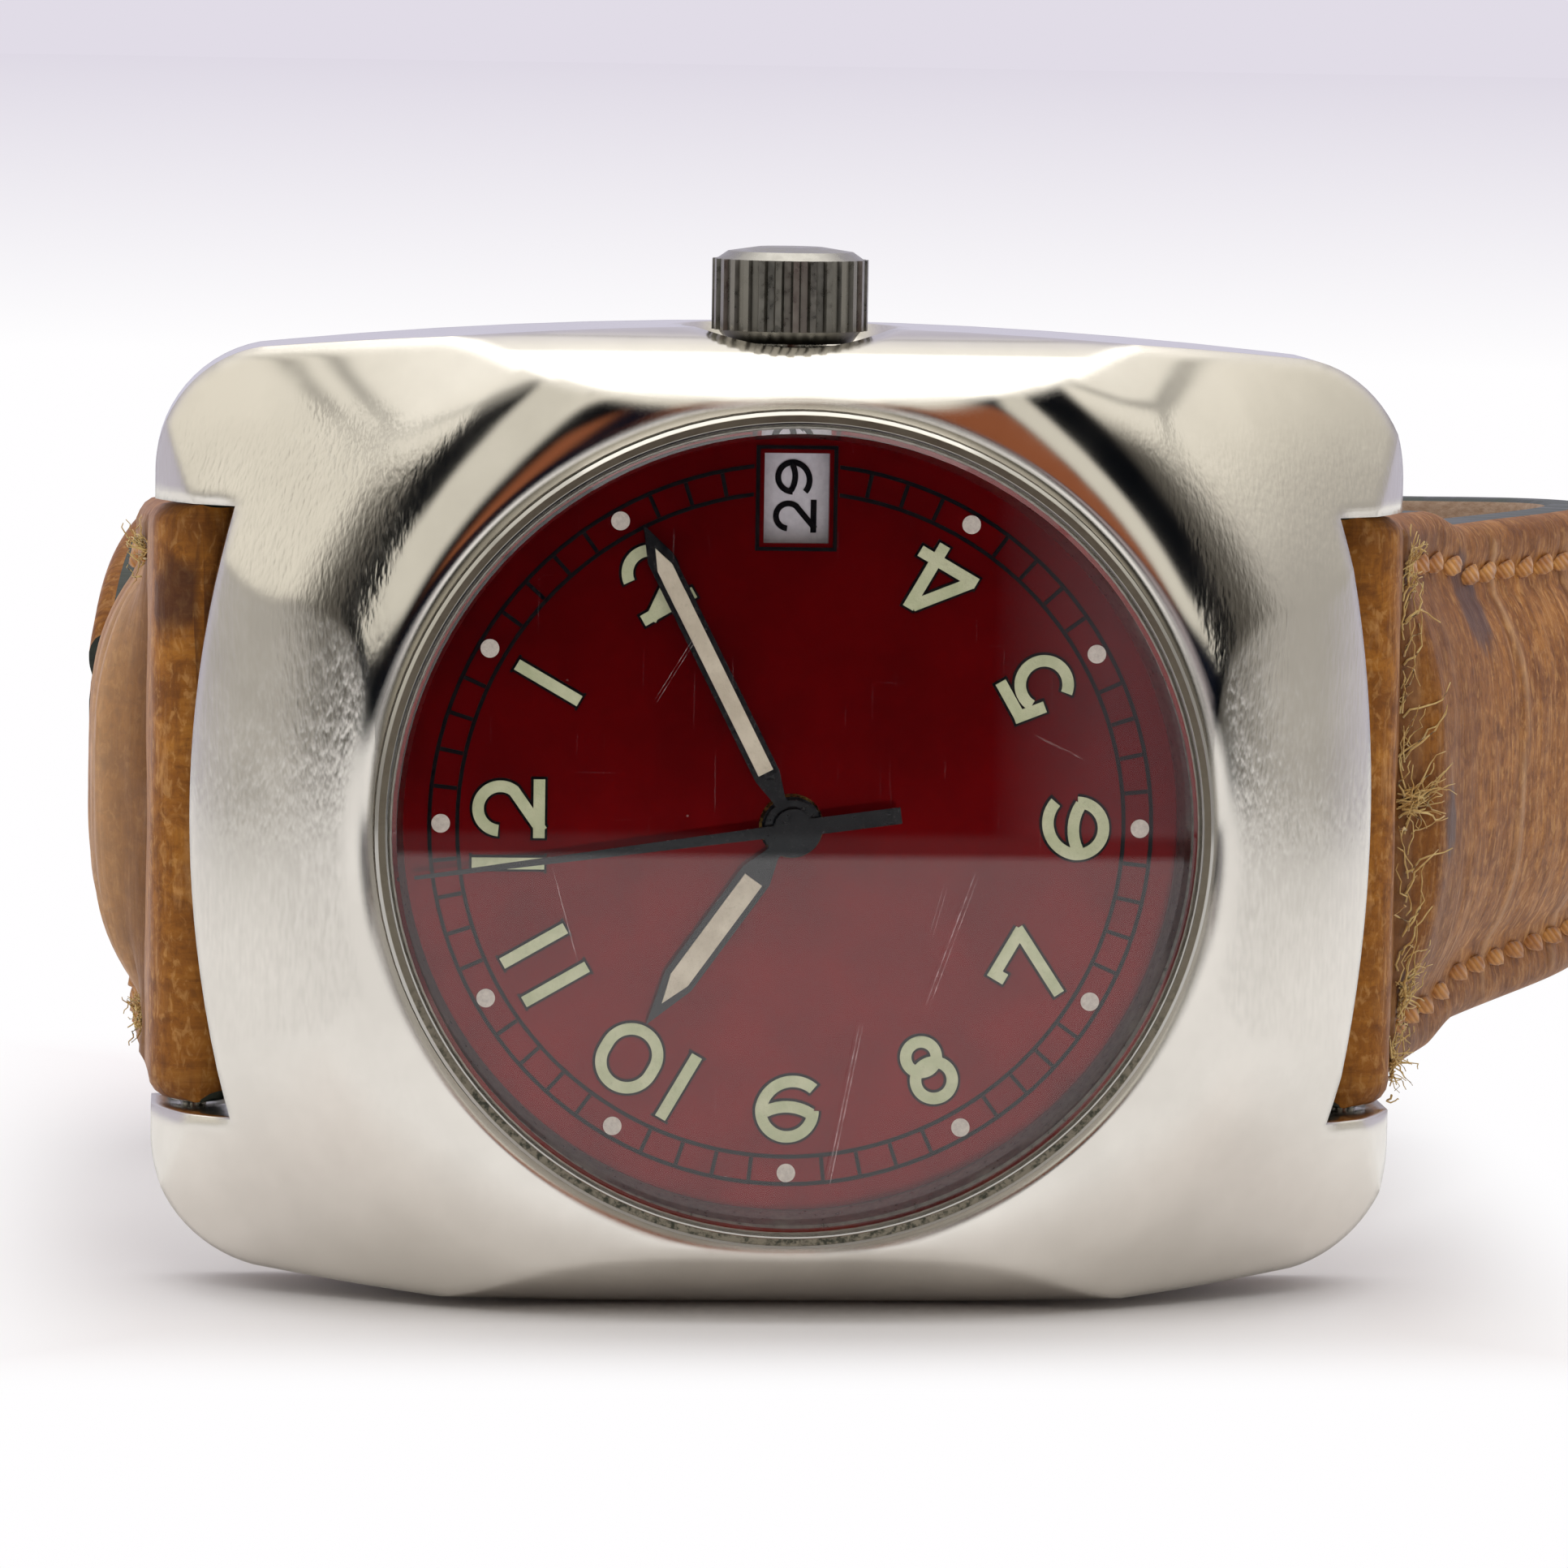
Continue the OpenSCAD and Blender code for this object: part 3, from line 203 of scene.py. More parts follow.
def dress_world():
    """Pale backdrop for the camera; for the rest a light tent: bright cloth above, behind and at the
    sides with dark seams, and in front its opening with the dark photographer, a light sleeve, wood
    above it and pale posts. A place in the opening is told by its lean, across over front, and its
    height."""
    world = bpy.data.worlds.new("light_tent")
    bpy.context.scene.world = world
    world.use_nodes = True
    tree = world.node_tree
    tree.nodes.clear()
    way = add(tree, "SeparateXYZ", add(tree, "TexCoord").outputs["Object"])
    across, front, up = way.outputs[0], add(tree, "Math.MULTIPLY", way.outputs[1], -1.0), way.outputs[2]
    side = add(tree, "Math.ABSOLUTE", across)
    lean = add(tree, "Math.DIVIDE", across, add(tree, "Math.MAXIMUM", front, 0.01))
    sleeve = add(tree, "Math.MULTIPLY", band(tree, lean, 0.115, 0.3, 0.008),
                 add(tree, "MapRange.SMOOTHSTEP", up, 0.02, 0.0))
    wood_right = add(tree, "Math.MULTIPLY", band(tree, lean, 0.01, 0.335, 0.01),
                     band(tree, up, 0.035, 0.34, 0.008))
    wood_left = add(tree, "Math.MULTIPLY", band(tree, lean, -0.14, -0.075, 0.01),
                    band(tree, up, 0.035, 0.25, 0.01))
    wood = add(tree, "Math.MAXIMUM", wood_right, wood_left)
    post_pair = add(tree, "Math.MAXIMUM", band(tree, lean, -0.52, -0.2, 0.012),
                    band(tree, lean, 0.345, 0.49, 0.012))
    posts = add(tree, "Math.MULTIPLY", add(tree, "MapRange.SMOOTHSTEP", up, 0.03, 0.05), post_pair)
    walls = add(tree, "MapRange.SMOOTHSTEP", add(tree, "Math.ABSOLUTE", lean), 0.78, 0.95)
    room = coats(tree, hex_linear("#07090d"), (band(tree, lean, -0.07, 0.5, 0.01), "#0b101b"),
                 (sleeve, "#a29a9f"), (wood, "#8a5237"), (posts, "#d2cfc6"), (walls, "#504d48"))
    droop = add(tree, "Math.MULTIPLY", add(tree, "MapRange.SMOOTHSTEP", across, 0.3, 0.9), 0.28)
    rise = add(tree, "Math.SUBTRACT", up, droop)
    upright_seam = add(tree, "Math.MULTIPLY", band(tree, side, 0.735, 0.746, 0.008),
                       add(tree, "MapRange", up, 0.1, 0.3))
    seams = add(tree, "Math.MAXIMUM", band(tree, up, 0.655, 0.668, 0.008), upright_seam)
    cloth = coats(tree, hex_linear("#a9a6a1"),
                  (add(tree, "MapRange.SMOOTHSTEP", rise, 0.0, 0.36), "#e2ded4"),
                  (add(tree, "MapRange.SMOOTHSTEP", front, 0.0, -0.6), "#bdbac8"),
                  (add(tree, "MapRange.SMOOTHSTEP", up, 0.5, 0.9), "#fffdf8"),
                  (add(tree, "Math.MULTIPLY", seams, 0.75), "#4a4a48"))
    tent = add(tree, "MapRange.SMOOTHSTEP", front, 0.66, 0.24)
    for more in (add(tree, "MapRange.SMOOTHSTEP", up, 0.6, 0.72),
                 add(tree, "Math.MULTIPLY", add(tree, "MapRange.SMOOTHSTEP", up, 0.48, 0.62), walls),
                 add(tree, "Math.MULTIPLY", add(tree, "MapRange.SMOOTHSTEP", up, 0.36, 0.42),
                     add(tree, "MapRange.SMOOTHSTEP", side, 0.25, 0.15))):
        tent = add(tree, "Math.MAXIMUM", tent, more)
    lit = add(tree, "Background", add(tree, "Mix.RGBA", tent, room, cloth), 1.25)
    seen = add(tree, "Background", hex_linear("#e1dce7"), 1.0)
    mix = add(tree, "MixShader", add(tree, "LightPath").outputs["Is Camera Ray"], lit, seen)
    add(tree, "OutputWorld", mix)


def dress_floor():
    """White table with the watch's shadow; far off it melts into a backdrop that turns lilac. What the
    steel and the glass mirror ends at the table's blue-grey edge, and the tent begins there."""
    material, tree = new_material("white_table")
    path = add(tree, "LightPath")
    mirrored = path.outputs["Is Glossy Ray"]
    place = add(tree, "TexCoord").outputs["Object"]
    off_shadow = outside(tree, place, 0.017, -0.0085, 0.045)
    off_table = outside(tree, place, 0.153, -0.1445, 0.3)
    table = add(tree, "BsdfPrincipled", named={"Base Color": hex_linear("#efedf0"), "Roughness": 0.6})
    height = add(tree, "Math.DIVIDE", 1.0, add(tree, "Math.ADD", add(tree, "VectorMath.LENGTH", place), HAZE))
    haze = coats(tree, hex_linear("#dfdae5"),
                 (add(tree, "MapRange", height, 1 / (FLOOR_HALF + HAZE), 1.05), "#fffeff"))
    melt = add(tree, "Math.MULTIPLY", add(tree, "Math.MAXIMUM", path.outputs["Is Camera Ray"], mirrored),
               add(tree, "MapRange.SMOOTHSTEP", off_shadow, 0.002, 0.014))
    rim = add(tree, "Math.MULTIPLY", mirrored, add(tree, "MapRange.SMOOTHSTEP", off_table, 0.0, 0.003))
    gone = add(tree, "Math.MULTIPLY", mirrored, add(tree, "MapRange.SMOOTHSTEP", off_table, 0.009, 0.014))
    near = add(tree, "MixShader", melt, table, add(tree, "Emission", haze, 1.0))
    edge = add(tree, "MixShader", rim, near, add(tree, "Emission", hex_linear("#5d6468"), 1.0))
    add(tree, "OutputMaterial", add(tree, "MixShader", gone, edge, add(tree, "BsdfTransparent")))
    corners = [(x * FLOOR_HALF, y * FLOOR_HALF, cad_box[0][2])
               for x, y in ((-1, -1), (1, -1), (1, 1), (-1, 1))]
    new_piece("floor", corners, [(0, 1, 2, 3)], [material], smooth=False)


dress_floor()
dress_world()
soft_lamp("ceiling_panel", place=(0.0, 0.05, 0.75), target=(0, 0, 0), size=(0.9, 0.7), power=2.1)


# Materials


def satin_steel():
    """Stainless steel case: polished round the bezel and along the top flank, where it mirrors the
    room sharply, and satin on the lug faces, where short upright hammer-like strokes soften it."""
    material, tree = new_material("satin_and_polished_stainless_steel")
    place = object_place(tree)
    height = add(tree, "SeparateXYZ", place).outputs[2]
    # The polish ends 14.1 to 15 mm from the dial's middle, and 2 mm further out towards the top flank.
    radius = add(tree, "VectorMath.LENGTH", add(tree, "VectorMath.MULTIPLY", place, (1, 0, 1)))
    inner = add(tree, "Math.SUBTRACT", radius,
                add(tree, "Math.MULTIPLY", add(tree, "MapRange.SMOOTHSTEP", height, 5.0, 12.5), 2.0))
    satin = add(tree, "Math.MULTIPLY", add(tree, "MapRange.SMOOTHSTEP", inner, 14.1, 15.0),
                add(tree, "MapRange.SMOOTHSTEP", height, 14.0, 11.0))
    strokes = add(tree, "TexNoise", object_place(tree, (3.0, 3.0, 0.9), (0, 0.12, 0)), 1.9, 1.0, 0.5)
    fine = add(tree, "TexNoise", object_place(tree, (4.6, 4.6, 1.4)), 2.0, 1.0, 0.5)
    wear = add(tree, "TexNoise", place, 0.25, 4.0, 0.55)
    mixed = add(tree, "Math.ADD", add(tree, "Math.MULTIPLY", strokes, 0.65),
                add(tree, "Math.MULTIPLY", fine, 0.35))
    rough = add(tree, "Math.ADD", add(tree, "MapRange", wear, 0.35, 0.65, 0.05, 0.09),
                add(tree, "Math.MULTIPLY", satin, add(tree, "MapRange", mixed, 0.35, 0.65, 0.05, 0.12)))
    struck = add(tree, "Math.MULTIPLY", satin, add(tree, "MapRange.SMOOTHSTEP", height, -3.0, 3.0))
    eased = add(tree, "Bevel", 0.0008, samples=8)
    bump = add(tree, "Bump", named={"Height": add(tree, "Math.MULTIPLY", mixed, struck), "Normal": eased,
                                    "Strength": 0.36, "Distance": 0.00004})
    steel = add(tree, "BsdfPrincipled", named={"Base Color": two_tone(tree, wear, "#d9d4cb", "#e3ded5"),
                                               "Metallic": 1.0, "Roughness": rough, "Normal": bump})
    add(tree, "OutputMaterial", steel)
    return material


def polished_ring():
    """Steel bezel dulled by handling: an olive-grey satin ring, a lighter polished lip inside it and a
    thin bright edge outside, with dark green-grey specks in the satin ring that grow towards the bottom."""
    material, tree = new_material("handled_bezel_steel")
    place = object_place(tree)
    radius = add(tree, "VectorMath.LENGTH", add(tree, "VectorMath.MULTIPLY", place, (1, 0, 1)))
    wear = add(tree, "TexNoise", place, 0.9, 5.0, 0.6)
    specks = add(tree, "TexNoise", place, 3.6, 4.0, 0.7)
    dull = band(tree, radius, 13.16, 13.39, 0.012)
    # Dark green-grey specks in the satin ring, more of them towards the bottom.
    low = add(tree, "MapRange", add(tree, "SeparateXYZ", place).outputs[2], -3.0, -12.0)
    dull_band_low = add(tree, "Math.MULTIPLY", dull,
                 add(tree, "MapRange", add(tree, "Math.ADD", low, wear), 0.6, 1.2))
    dark_specks = add(tree, "Math.MULTIPLY", add(tree, "MapRange", specks, 0.46, 0.6), dull_band_low)
    olive = add(tree, "Mix.RGBA", wear, hex_linear("#746d5e"), hex_linear("#8b8576"))
    tone = coats(tree, add(tree, "Mix.RGBA", dull, hex_linear("#b3b0a9"), olive),
                 (add(tree, "Math.MULTIPLY", dark_specks, 0.8), "#2c332d"))
    rough = add(tree, "Math.ADD", add(tree, "MapRange", wear, 0.3, 0.7, 0.1, 0.18),
                add(tree, "Math.MULTIPLY", add(tree, "Math.ADD", dull, dark_specks), 0.2))
    bump = add(tree, "Bump", named={"Height": add(tree, "Math.MULTIPLY", specks, dull), "Strength": 0.3,
                                    "Distance": 0.00003})
    steel = add(tree, "BsdfPrincipled", named={"Base Color": tone, "Metallic": 1.0, "Roughness": rough,
                                               "Normal": bump})
    add(tree, "OutputMaterial", steel)
    return material


def crown_steel():
    """Fluted steel crown: darker, with painted shade between its flutes from ambient occlusion."""
    material, tree = new_material("fluted_crown_steel")
    ao_for_painted_shade = add(tree, "AmbientOcclusion", named={"Distance": 0.0006}).outputs["AO"]
    wear = add(tree, "TexNoise", object_place(tree), 3.0, 4.0, 0.55)
    # Painted shade: the colour goes dark where ambient occlusion finds the grooves between the flutes.
    tone = coats(tree, hex_linear("#33322e"), (add(tree, "MapRange", ao_for_painted_shade, 0.35, 0.9), "#9d9a93"))
    rough = add(tree, "MapRange", wear, 0.3, 0.7, 0.22, 0.42)
    add(tree, "OutputMaterial",
        add(tree, "BsdfPrincipled", named={"Base Color": tone, "Metallic": 1.0, "Roughness": rough}))
    return material


def finished(name, colour, second, scale, metallic, low, high, bump=0.0, stretch=(1, 1, 1), more=()):
    """A finish of two near colours and a grain of its own, in its tone, its gloss and its height. The
    numbers: scale of the grain, metallic, least and most roughness, height and stretch of the grain."""
    material, tree = new_material(name)
    marks = add(tree, "TexNoise", object_place(tree, stretch), scale, 5.0, 0.6)
    inputs = {"Base Color": two_tone(tree, marks, colour, second), "Metallic": metallic,
              "Roughness": add(tree, "MapRange", marks, 0.3, 0.7, low, high), **dict(more)}
    if bump:
        inputs["Normal"] = add(tree, "Bump", named={"Height": marks, "Strength": bump, "Distance": 0.00005})
    add(tree, "OutputMaterial", add(tree, "BsdfPrincipled", named=inputs))
    return material


def dial_lacquer():
    """Deep red lacquer over a brushed plate: dark where it mirrors a dark room, rosy where it
    mirrors a pale table, with dust in it."""
    material, tree = new_material("red_lacquer_on_brass")
    place = object_place(tree)
    cloud = add(tree, "TexNoise", place, 0.4, 3.0, 0.55)
    specks = add(tree, "TexVoronoi", named={"Vector": place, "Scale": 0.75, "Randomness": 1.0})
    dust = add(tree, "Math.MULTIPLY", add(tree, "MapRange", specks.outputs["Distance"], 0.05, 0.03),
               add(tree, "MapRange", add(tree, "TexNoise", place, 0.9, 4.0, 0.55), 0.55, 0.6))
    tone = coats(tree, two_tone(tree, cloud, "#6a0102", "#770203"),
                 (add(tree, "Math.MULTIPLY", dust, 0.7), "#c9a7a2"))
    lacquer = add(tree, "BsdfPrincipled", named={"Base Color": tone, "Metallic": 0.6, "Roughness": 0.15,
                                                 "Specular IOR Level": 0.1})
    add(tree, "OutputMaterial", lacquer)
    return material


def scratch(tree, place, start, end, width):
    """A straight scratch between two places (x, z) in millimetres: 1 on it, 0 beside it."""
    middle = [(a + b) / 2 for a, b in zip(start, end)]
    length, turn = math.dist(start, end), math.atan2(end[1] - start[1], end[0] - start[0])
    moved = add(tree, "VectorMath.SUBTRACT", place, (middle[0], 0, middle[1]))
    turned = add(tree, "VectorRotate.AXIS_ANGLE", named={"Vector": moved, "Axis": (0, 1, 0), "Angle": turn})
    split = add(tree, "SeparateXYZ", turned)
    across = add(tree, "MapRange", add(tree, "Math.ABSOLUTE", split.outputs[2]), width, width * 0.3)
    along = add(tree, "MapRange", add(tree, "Math.ABSOLUTE", split), length / 2, length / 2 - 0.6)
    return add(tree, "Math.MULTIPLY", across, along)


def watch_glass():
    """Flat mineral glass, worn: it mirrors the table and the room, a few long scratches and many
    hairlines catch the light, and lamps and soft light pass through it to the dial."""
    material, tree = new_material("mineral_watch_glass")
    path = add(tree, "LightPath")
    place = object_place(tree)
    marks = 0.0
    for start, end, width in (
        ((5.9, -1.25), (4.3, -5.75), 0.028), ((2.25, -6.05), (1.2, -11.6), 0.03),
        ((-3.2, 6.4), (-4.6, 4.1), 0.015), ((7.6, 3.2), (9.3, 2.4), 0.015),
        ((-7.8, -1.2), (-6.9, -4.4), 0.018), ((4.9, -1.6), (4.4, -3.4), 0.015),
    ):
        marks = add(tree, "Math.MAXIMUM", marks, scratch(tree, place, start, end, width))
    patchy = add(tree, "MapRange", add(tree, "TexNoise", place, 2.5, 4.0, 0.55), 0.4, 0.6, 0.2, 1.0)
    marks = add(tree, "Math.MULTIPLY", add(tree, "Math.MULTIPLY", marks, 0.4), patchy)
    hair = add(tree, "TexNoise", object_place(tree, (5.0, 1.0, 0.16), (0, 0.5, 0)), 1.6, 2.0, 0.4)
    hair_other = add(tree, "TexNoise", object_place(tree, (0.2, 1.0, 5.5), (0, 0.35, 0)), 1.4, 2.0, 0.4)
    hairs = add(tree, "Math.MAXIMUM", add(tree, "MapRange", hair, 0.72, 0.8, 0.0, 0.05),
                add(tree, "MapRange", hair_other, 0.74, 0.82, 0.0, 0.04))
    glass = add(tree, "BsdfPrincipled", named={"Base Color": (1, 1, 1, 1), "Roughness": 0.0, "IOR": 1.46,
                                               "Transmission Weight": 1.0})
    frosted = add(tree, "BsdfDiffuse", hex_linear("#d9c9c9"))
    worn = add(tree, "MixShader", add(tree, "Math.MAXIMUM", marks, hairs), glass, frosted)
    passing = add(tree, "Math.MAXIMUM", path.outputs["Is Shadow Ray"], path.outputs["Is Diffuse Ray"])
    add(tree, "OutputMaterial", add(tree, "MixShader", passing, worn, add(tree, "BsdfTransparent")))
    return material


def quill_leather():
    """Vegetable-tanned calf with raised quill marks: orange-ochre with brown fibrous streaks, dark
    purple-brown follicles, pale worn fold tops with a painted highlight on them, a broad painted highlight
    on the twelve o'clock pad, dark soiled edges, painted shade in the fold grooves, and a rosy sheen painted
    stronger on the twelve o'clock side."""
    material, tree = new_material("tan_quill_leather")
    place = leather_place(tree)
    split = add(tree, "SeparateColor", add(tree, "VertexColor", layer_name="marks").outputs["Color"])
    quill, wear_and_highlight, soil_and_shade = split.outputs[0], split.outputs[1], split.outputs[2]
    broad = add(tree, "TexNoise", place, 0.35, 4.0, 0.6)
    mottle = add(tree, "TexNoise", place, 0.9, 6.0, 0.65, named={"Distortion": 0.8})
    pores = add(tree, "TexNoise", leather_place(tree, (1.0, 0.8)), 8.0, 3.0, 0.6)
    fibres = add(tree, "TexNoise", leather_place(tree, (1.3, 1.5)), 1.3, 6.0, 0.7, named={"Distortion": 0.5})
    creases = add(tree, "TexNoise", leather_place(tree, (3.0, 0.22)), 1.2, 5.0, 0.6)
    flecks = add(tree, "TexNoise", object_place(tree, (1.0, 1.0, 0.55)), 3.4, 3.0, 0.6,
                 named={"Distortion": 0.6})
    tone = two_tone(tree, broad, "#8e5616", "#a76b23")
    for grain, low, high, most, code in (
        (mottle, 0.45, 0.65, 0.7, "#6f3f14"), (mottle, 0.46, 0.3, 0.55, "#bb8032"),
        (fibres, 0.52, 0.7, 0.55, "#5b3110"), (fibres, 0.44, 0.3, 0.3, "#c9924a"),
        (creases, 0.54, 0.7, 0.6, "#683a18"), (creases, 0.44, 0.3, 0.5, "#cf9d66"),
        (flecks, 0.54, 0.66, 0.4, "#d3a060"), (flecks, 0.46, 0.34, 0.35, "#5d3413"),
    ):
        tone = coats(tree, tone, (add(tree, "MapRange", grain, low, high, 0.0, most), code))
    # Worn fold tops are pale, with a painted highlight on them and over the twelve o'clock pad; dirt near the
    # lug and at the edges is dark, with painted shade in the fold grooves; quill follicles are dark.
    for mark, most, code in ((wear_and_highlight, 0.75, "#dcb892"), (soil_and_shade, 0.65, "#573012"), (quill, 0.8, "#45261b")):
        tone = coats(tree, tone, (add(tree, "Math.MULTIPLY", mark, most), code))
    height = add(tree, "Math.MULTIPLY", fibres, 0.35)
    for grain, share in ((creases, 0.8), (pores, 0.18)):
        height = add(tree, "Math.ADD", height, add(tree, "Math.MULTIPLY", grain, share))
    bump = add(tree, "Bump", named={"Height": height, "Strength": 0.5, "Distance": 0.00011})
    rough = add(tree, "MapRange", add(tree, "Math.ADD", mottle, add(tree, "Math.MULTIPLY", quill, -0.3)),
                0.2, 0.75, 0.42, 0.62)
    # Painted sheen: the sheen weight follows the place along the watch, strong on the twelve o'clock side,
    # weak on the six o'clock side.
    painted_side_sheen = add(tree, "MapRange", add(tree, "SeparateXYZ", object_place(tree)), -12.0, 12.0, 0.3, 0.03)
    leather = add(tree, "BsdfPrincipled", named={
        "Base Color": tone, "Roughness": rough, "Normal": bump, "Specular IOR Level": 0.2,
        "Sheen Weight": painted_side_sheen, "Sheen Roughness": 0.4, "Sheen Tint": hex_linear("#e2c6c0"),
    })
    add(tree, "OutputMaterial", leather)
    return material


def on_leather(name, colour, second, scale, low, high, bump):
    """A finish on a cut edge or the lining of the strap, on the strap's own map. The numbers: scale of
    the grain, least and most roughness, height of the grain."""
    material, tree = new_material(name)
    marks = add(tree, "TexNoise", leather_place(tree, (1.0, 1.6)), scale, 5.0, 0.65)
    relief = add(tree, "Bump", named={"Height": marks, "Strength": bump, "Distance": 0.0001})
    rough = add(tree, "MapRange", marks, 0.3, 0.7, low, high)
    add(tree, "OutputMaterial", add(tree, "BsdfPrincipled", named={
        "Base Color": two_tone(tree, marks, colour, second), "Roughness": rough, "Normal": relief}))
    return material


def twisted_thread():
    """Waxed linen sewing thread, orange-tan, with its plies showing as slanting bands and painted shade
    in the grooves between them.
    """
    material, tree = new_material("waxed_linen_thread")
    bands = add(tree, "TexWave", named={"Vector": object_place(tree, (1, 1, 1), (0.4, 0.6, 0.3)),
                                        "Scale": 1.6, "Distortion": 1.0, "Detail": 2.0}).outputs["Fac"]
    wear = add(tree, "TexNoise", object_place(tree), 1.3, 3.0, 0.55)
    # Painted shade: the colour darkens where the ply bands sink, in the grooves of the twist.
    tone = coats(tree, two_tone(tree, wear, "#a8692a", "#cf9247"),
                 (add(tree, "MapRange", bands, 0.4, 0.0, 0.0, 0.35), "#7a4517"))
    bump = add(tree, "Bump", named={"Height": bands, "Strength": 0.5, "Distance": 0.0001})
    add(tree, "OutputMaterial", add(tree, "BsdfPrincipled", named={
        "Base Color": tone, "Roughness": 0.75, "Normal": bump, "Sheen Weight": 0.3, "Sheen Roughness": 0.5}))
    return material


def luminous(name, colour, second):
    """Luminous paint laid in by hand: a grainy, slightly domed filling, uneven in colour."""
    material, tree = new_material(name)
    place = object_place(tree)
    broad = add(tree, "TexNoise", place, 1.2, 3.0, 0.55)
    grit = add(tree, "TexNoise", place, 9.0, 3.0, 0.7)
    tone = coats(tree, two_tone(tree, broad, colour, second),
                 (add(tree, "MapRange", grit, 0.55, 0.75, 0.0, 0.3), "#8f8a6a"))
    bump = add(tree, "Bump", named={"Height": grit, "Strength": 0.5, "Distance": 0.00006})
    add(tree, "OutputMaterial",
        add(tree, "BsdfPrincipled", named={"Base Color": tone, "Roughness": 0.8, "Normal": bump}))
    return material


def wound_wire():
    """Enamelled copper wire, close wound: a fine rib every tenth of a millimetre, drawn at a fifth so
    that it shows, with painted shade between the windings and a painted highlight on their ribs."""
    material, tree = new_material("enamelled_copper_wire")
    bands = add(tree, "TexWave.Z", named={"Vector": object_place(tree), "Scale": 1.6}).outputs["Fac"]
    # Painted shade and highlight: dark copper between the windings, light on their ribs.
    tone = coats(tree, hex_linear("#6d3215"), (bands, "#c27a45"))
    bump = add(tree, "Bump", named={"Height": bands, "Strength": 0.8, "Distance": 0.00005})
    add(tree, "OutputMaterial", add(tree, "BsdfPrincipled", named={
        "Base Color": tone, "Metallic": 1.0, "Roughness": 0.3, "Normal": bump}))
    return material


def dress(material, *names):
    """Puts one material on the named nodes."""
    for name in names:
        obj = nodes[name]
        obj.data.materials.clear()
        obj.data.materials.append(material)


STEEL = satin_steel()
NICKEL = finished("nickel_plated_brass", "#aeaca6", "#c4c2bc", 5.0, 1.0, 0.18, 0.32)
BACK_STEEL = finished("polished_back_steel", "#b5b2ab", "#c9c6bf", 3.0, 1.0, 0.12, 0.3, 0.1, (1, 1, 0.2))
BRASS = finished("gilt_brass", "#bd9a52", "#d0ad63", 6.0, 1.0, 0.2, 0.36, 0.1)
PRINT = finished("black_pad_printing_ink", "#070303", "#110808", 6.0, 0.0, 0.55, 0.75,
                 more={"Specular IOR Level": 0.15})
DOTS = finished("white_pad_printing_ink", "#cfc6bd", "#e4dcd2", 8.0, 0.0, 0.5, 0.7)
RUBBER = finished("black_nitrile_rubber", "#131313", "#1d1d1c", 5.0, 0.0, 0.6, 0.8, 0.2)
NYLON = finished("translucent_nylon", "#a8a59c", "#c2bfb6", 4.0, 0.0, 0.35, 0.55)
REHAUT = finished("satin_inner_flange", "#8b8680", "#a19c95", 4.0, 1.0, 0.26, 0.38)
HAND_BLACK = finished("black_lacquered_brass", "#060606", "#101011", 7.0, 0.0, 0.12, 0.3)
IRON = finished("soft_iron", "#56565a", "#6b6b70", 5.0, 1.0, 0.35, 0.55, 0.2)
BOARD = finished("green_circuit_laminate", "#174a2b", "#21633a", 3.0, 0.0, 0.3, 0.5)
DATE_WHITE = finished("white_date_disc_paint", "#d5d3dc", "#e2e0e8", 5.0, 0.0, 0.4, 0.6)
LACQUER = dial_lacquer()
BEZEL = polished_ring()
CROWN = crown_steel()
EDGE_PAINT = on_leather("dark_green_edge_paint", "#141d19", "#29332a", 1.6, 0.35, 0.6, 0.5)
LINING = on_leather("calf_lining_leather", "#9c7f68", "#b59c88", 2.5, 0.5, 0.75, 0.5)
QUILL_LEATHER = quill_leather()
THREAD = twisted_thread()
FRAY = finished("frayed_linen_fibre", "#b88d45", "#dcc382", 2.0, 0.0, 0.7, 0.9, more={"Sheen Weight": 0.3})

dress(STEEL, "case_middle", "buckle_frame", "buckle_tongue")
dress(BACK_STEEL, "case_back")
dress(BEZEL, "bezel_ring")
dress(CROWN, "crown")
dress(REHAUT, "rehaut")
dress(NICKEL, "crown_tube", "winding_stem", "sliding_pinion", "date_jumper", "train_bridge", "bridge_screws",
      "quartz_can", "battery", "battery_clamp", "setting_yoke", "spring_bar_12", "spring_bar_6", "buckle_bar")
dress(BRASS, "hour_wheel", "centre_wheel", "third_wheel", "seconds_wheel", "intermediate_wheel",
      "minute_wheel", "date_wheel", "main_plate")
dress(PRINT, "date_frame", "minute_track", "numeral_outlines", "date_figure")
dress(DOTS, "hour_dots")
dress(RUBBER, "case_back_gasket", "crown_gasket")
dress(NYLON, "crystal_gasket", "movement_ring")
dress(LACQUER, "dial")
dress(luminous("green_luminous_paint", "#bfc6a0", "#d3d6b4"), "numeral_lume")
dress(luminous("cream_luminous_paint", "#c6bba8", "#d8cebb"), "hour_hand_lume", "minute_hand_lume")
dress(HAND_BLACK, "hour_hand", "minute_hand", "seconds_hand")
dress(IRON, "rotor", "stator")
dress(wound_wire(), "coil")
dress(BOARD, "circuit_board")
dress(DATE_WHITE, "date_ring")
dress(watch_glass(), "crystal")


# Leather strap

# Lengths are in millimetres along the watch: y towards 12 o'clock, z out of the dial, x towards
# the crown. The routes and thicknesses are the ones the strap solids have. BAR and BUCKLE are the
# middles of the spring bar and the buckle bar as (y, z), STEP is the way from one cross section of the
# leather to the next.
BAR = (19.2, 1.95)
BUCKLE = (-11.2, -38.8)
LUG_WIDTH, END_WIDTH = 19.7, 16.4
LUG_THICK, END_THICK = 3.0, 2.1
STEP = 0.35


def in_world(x, y, z):
    """A point of the watch, in millimetres, as a place in the row frame."""
    return Vector((-y * MM, -z * MM, x * MM))


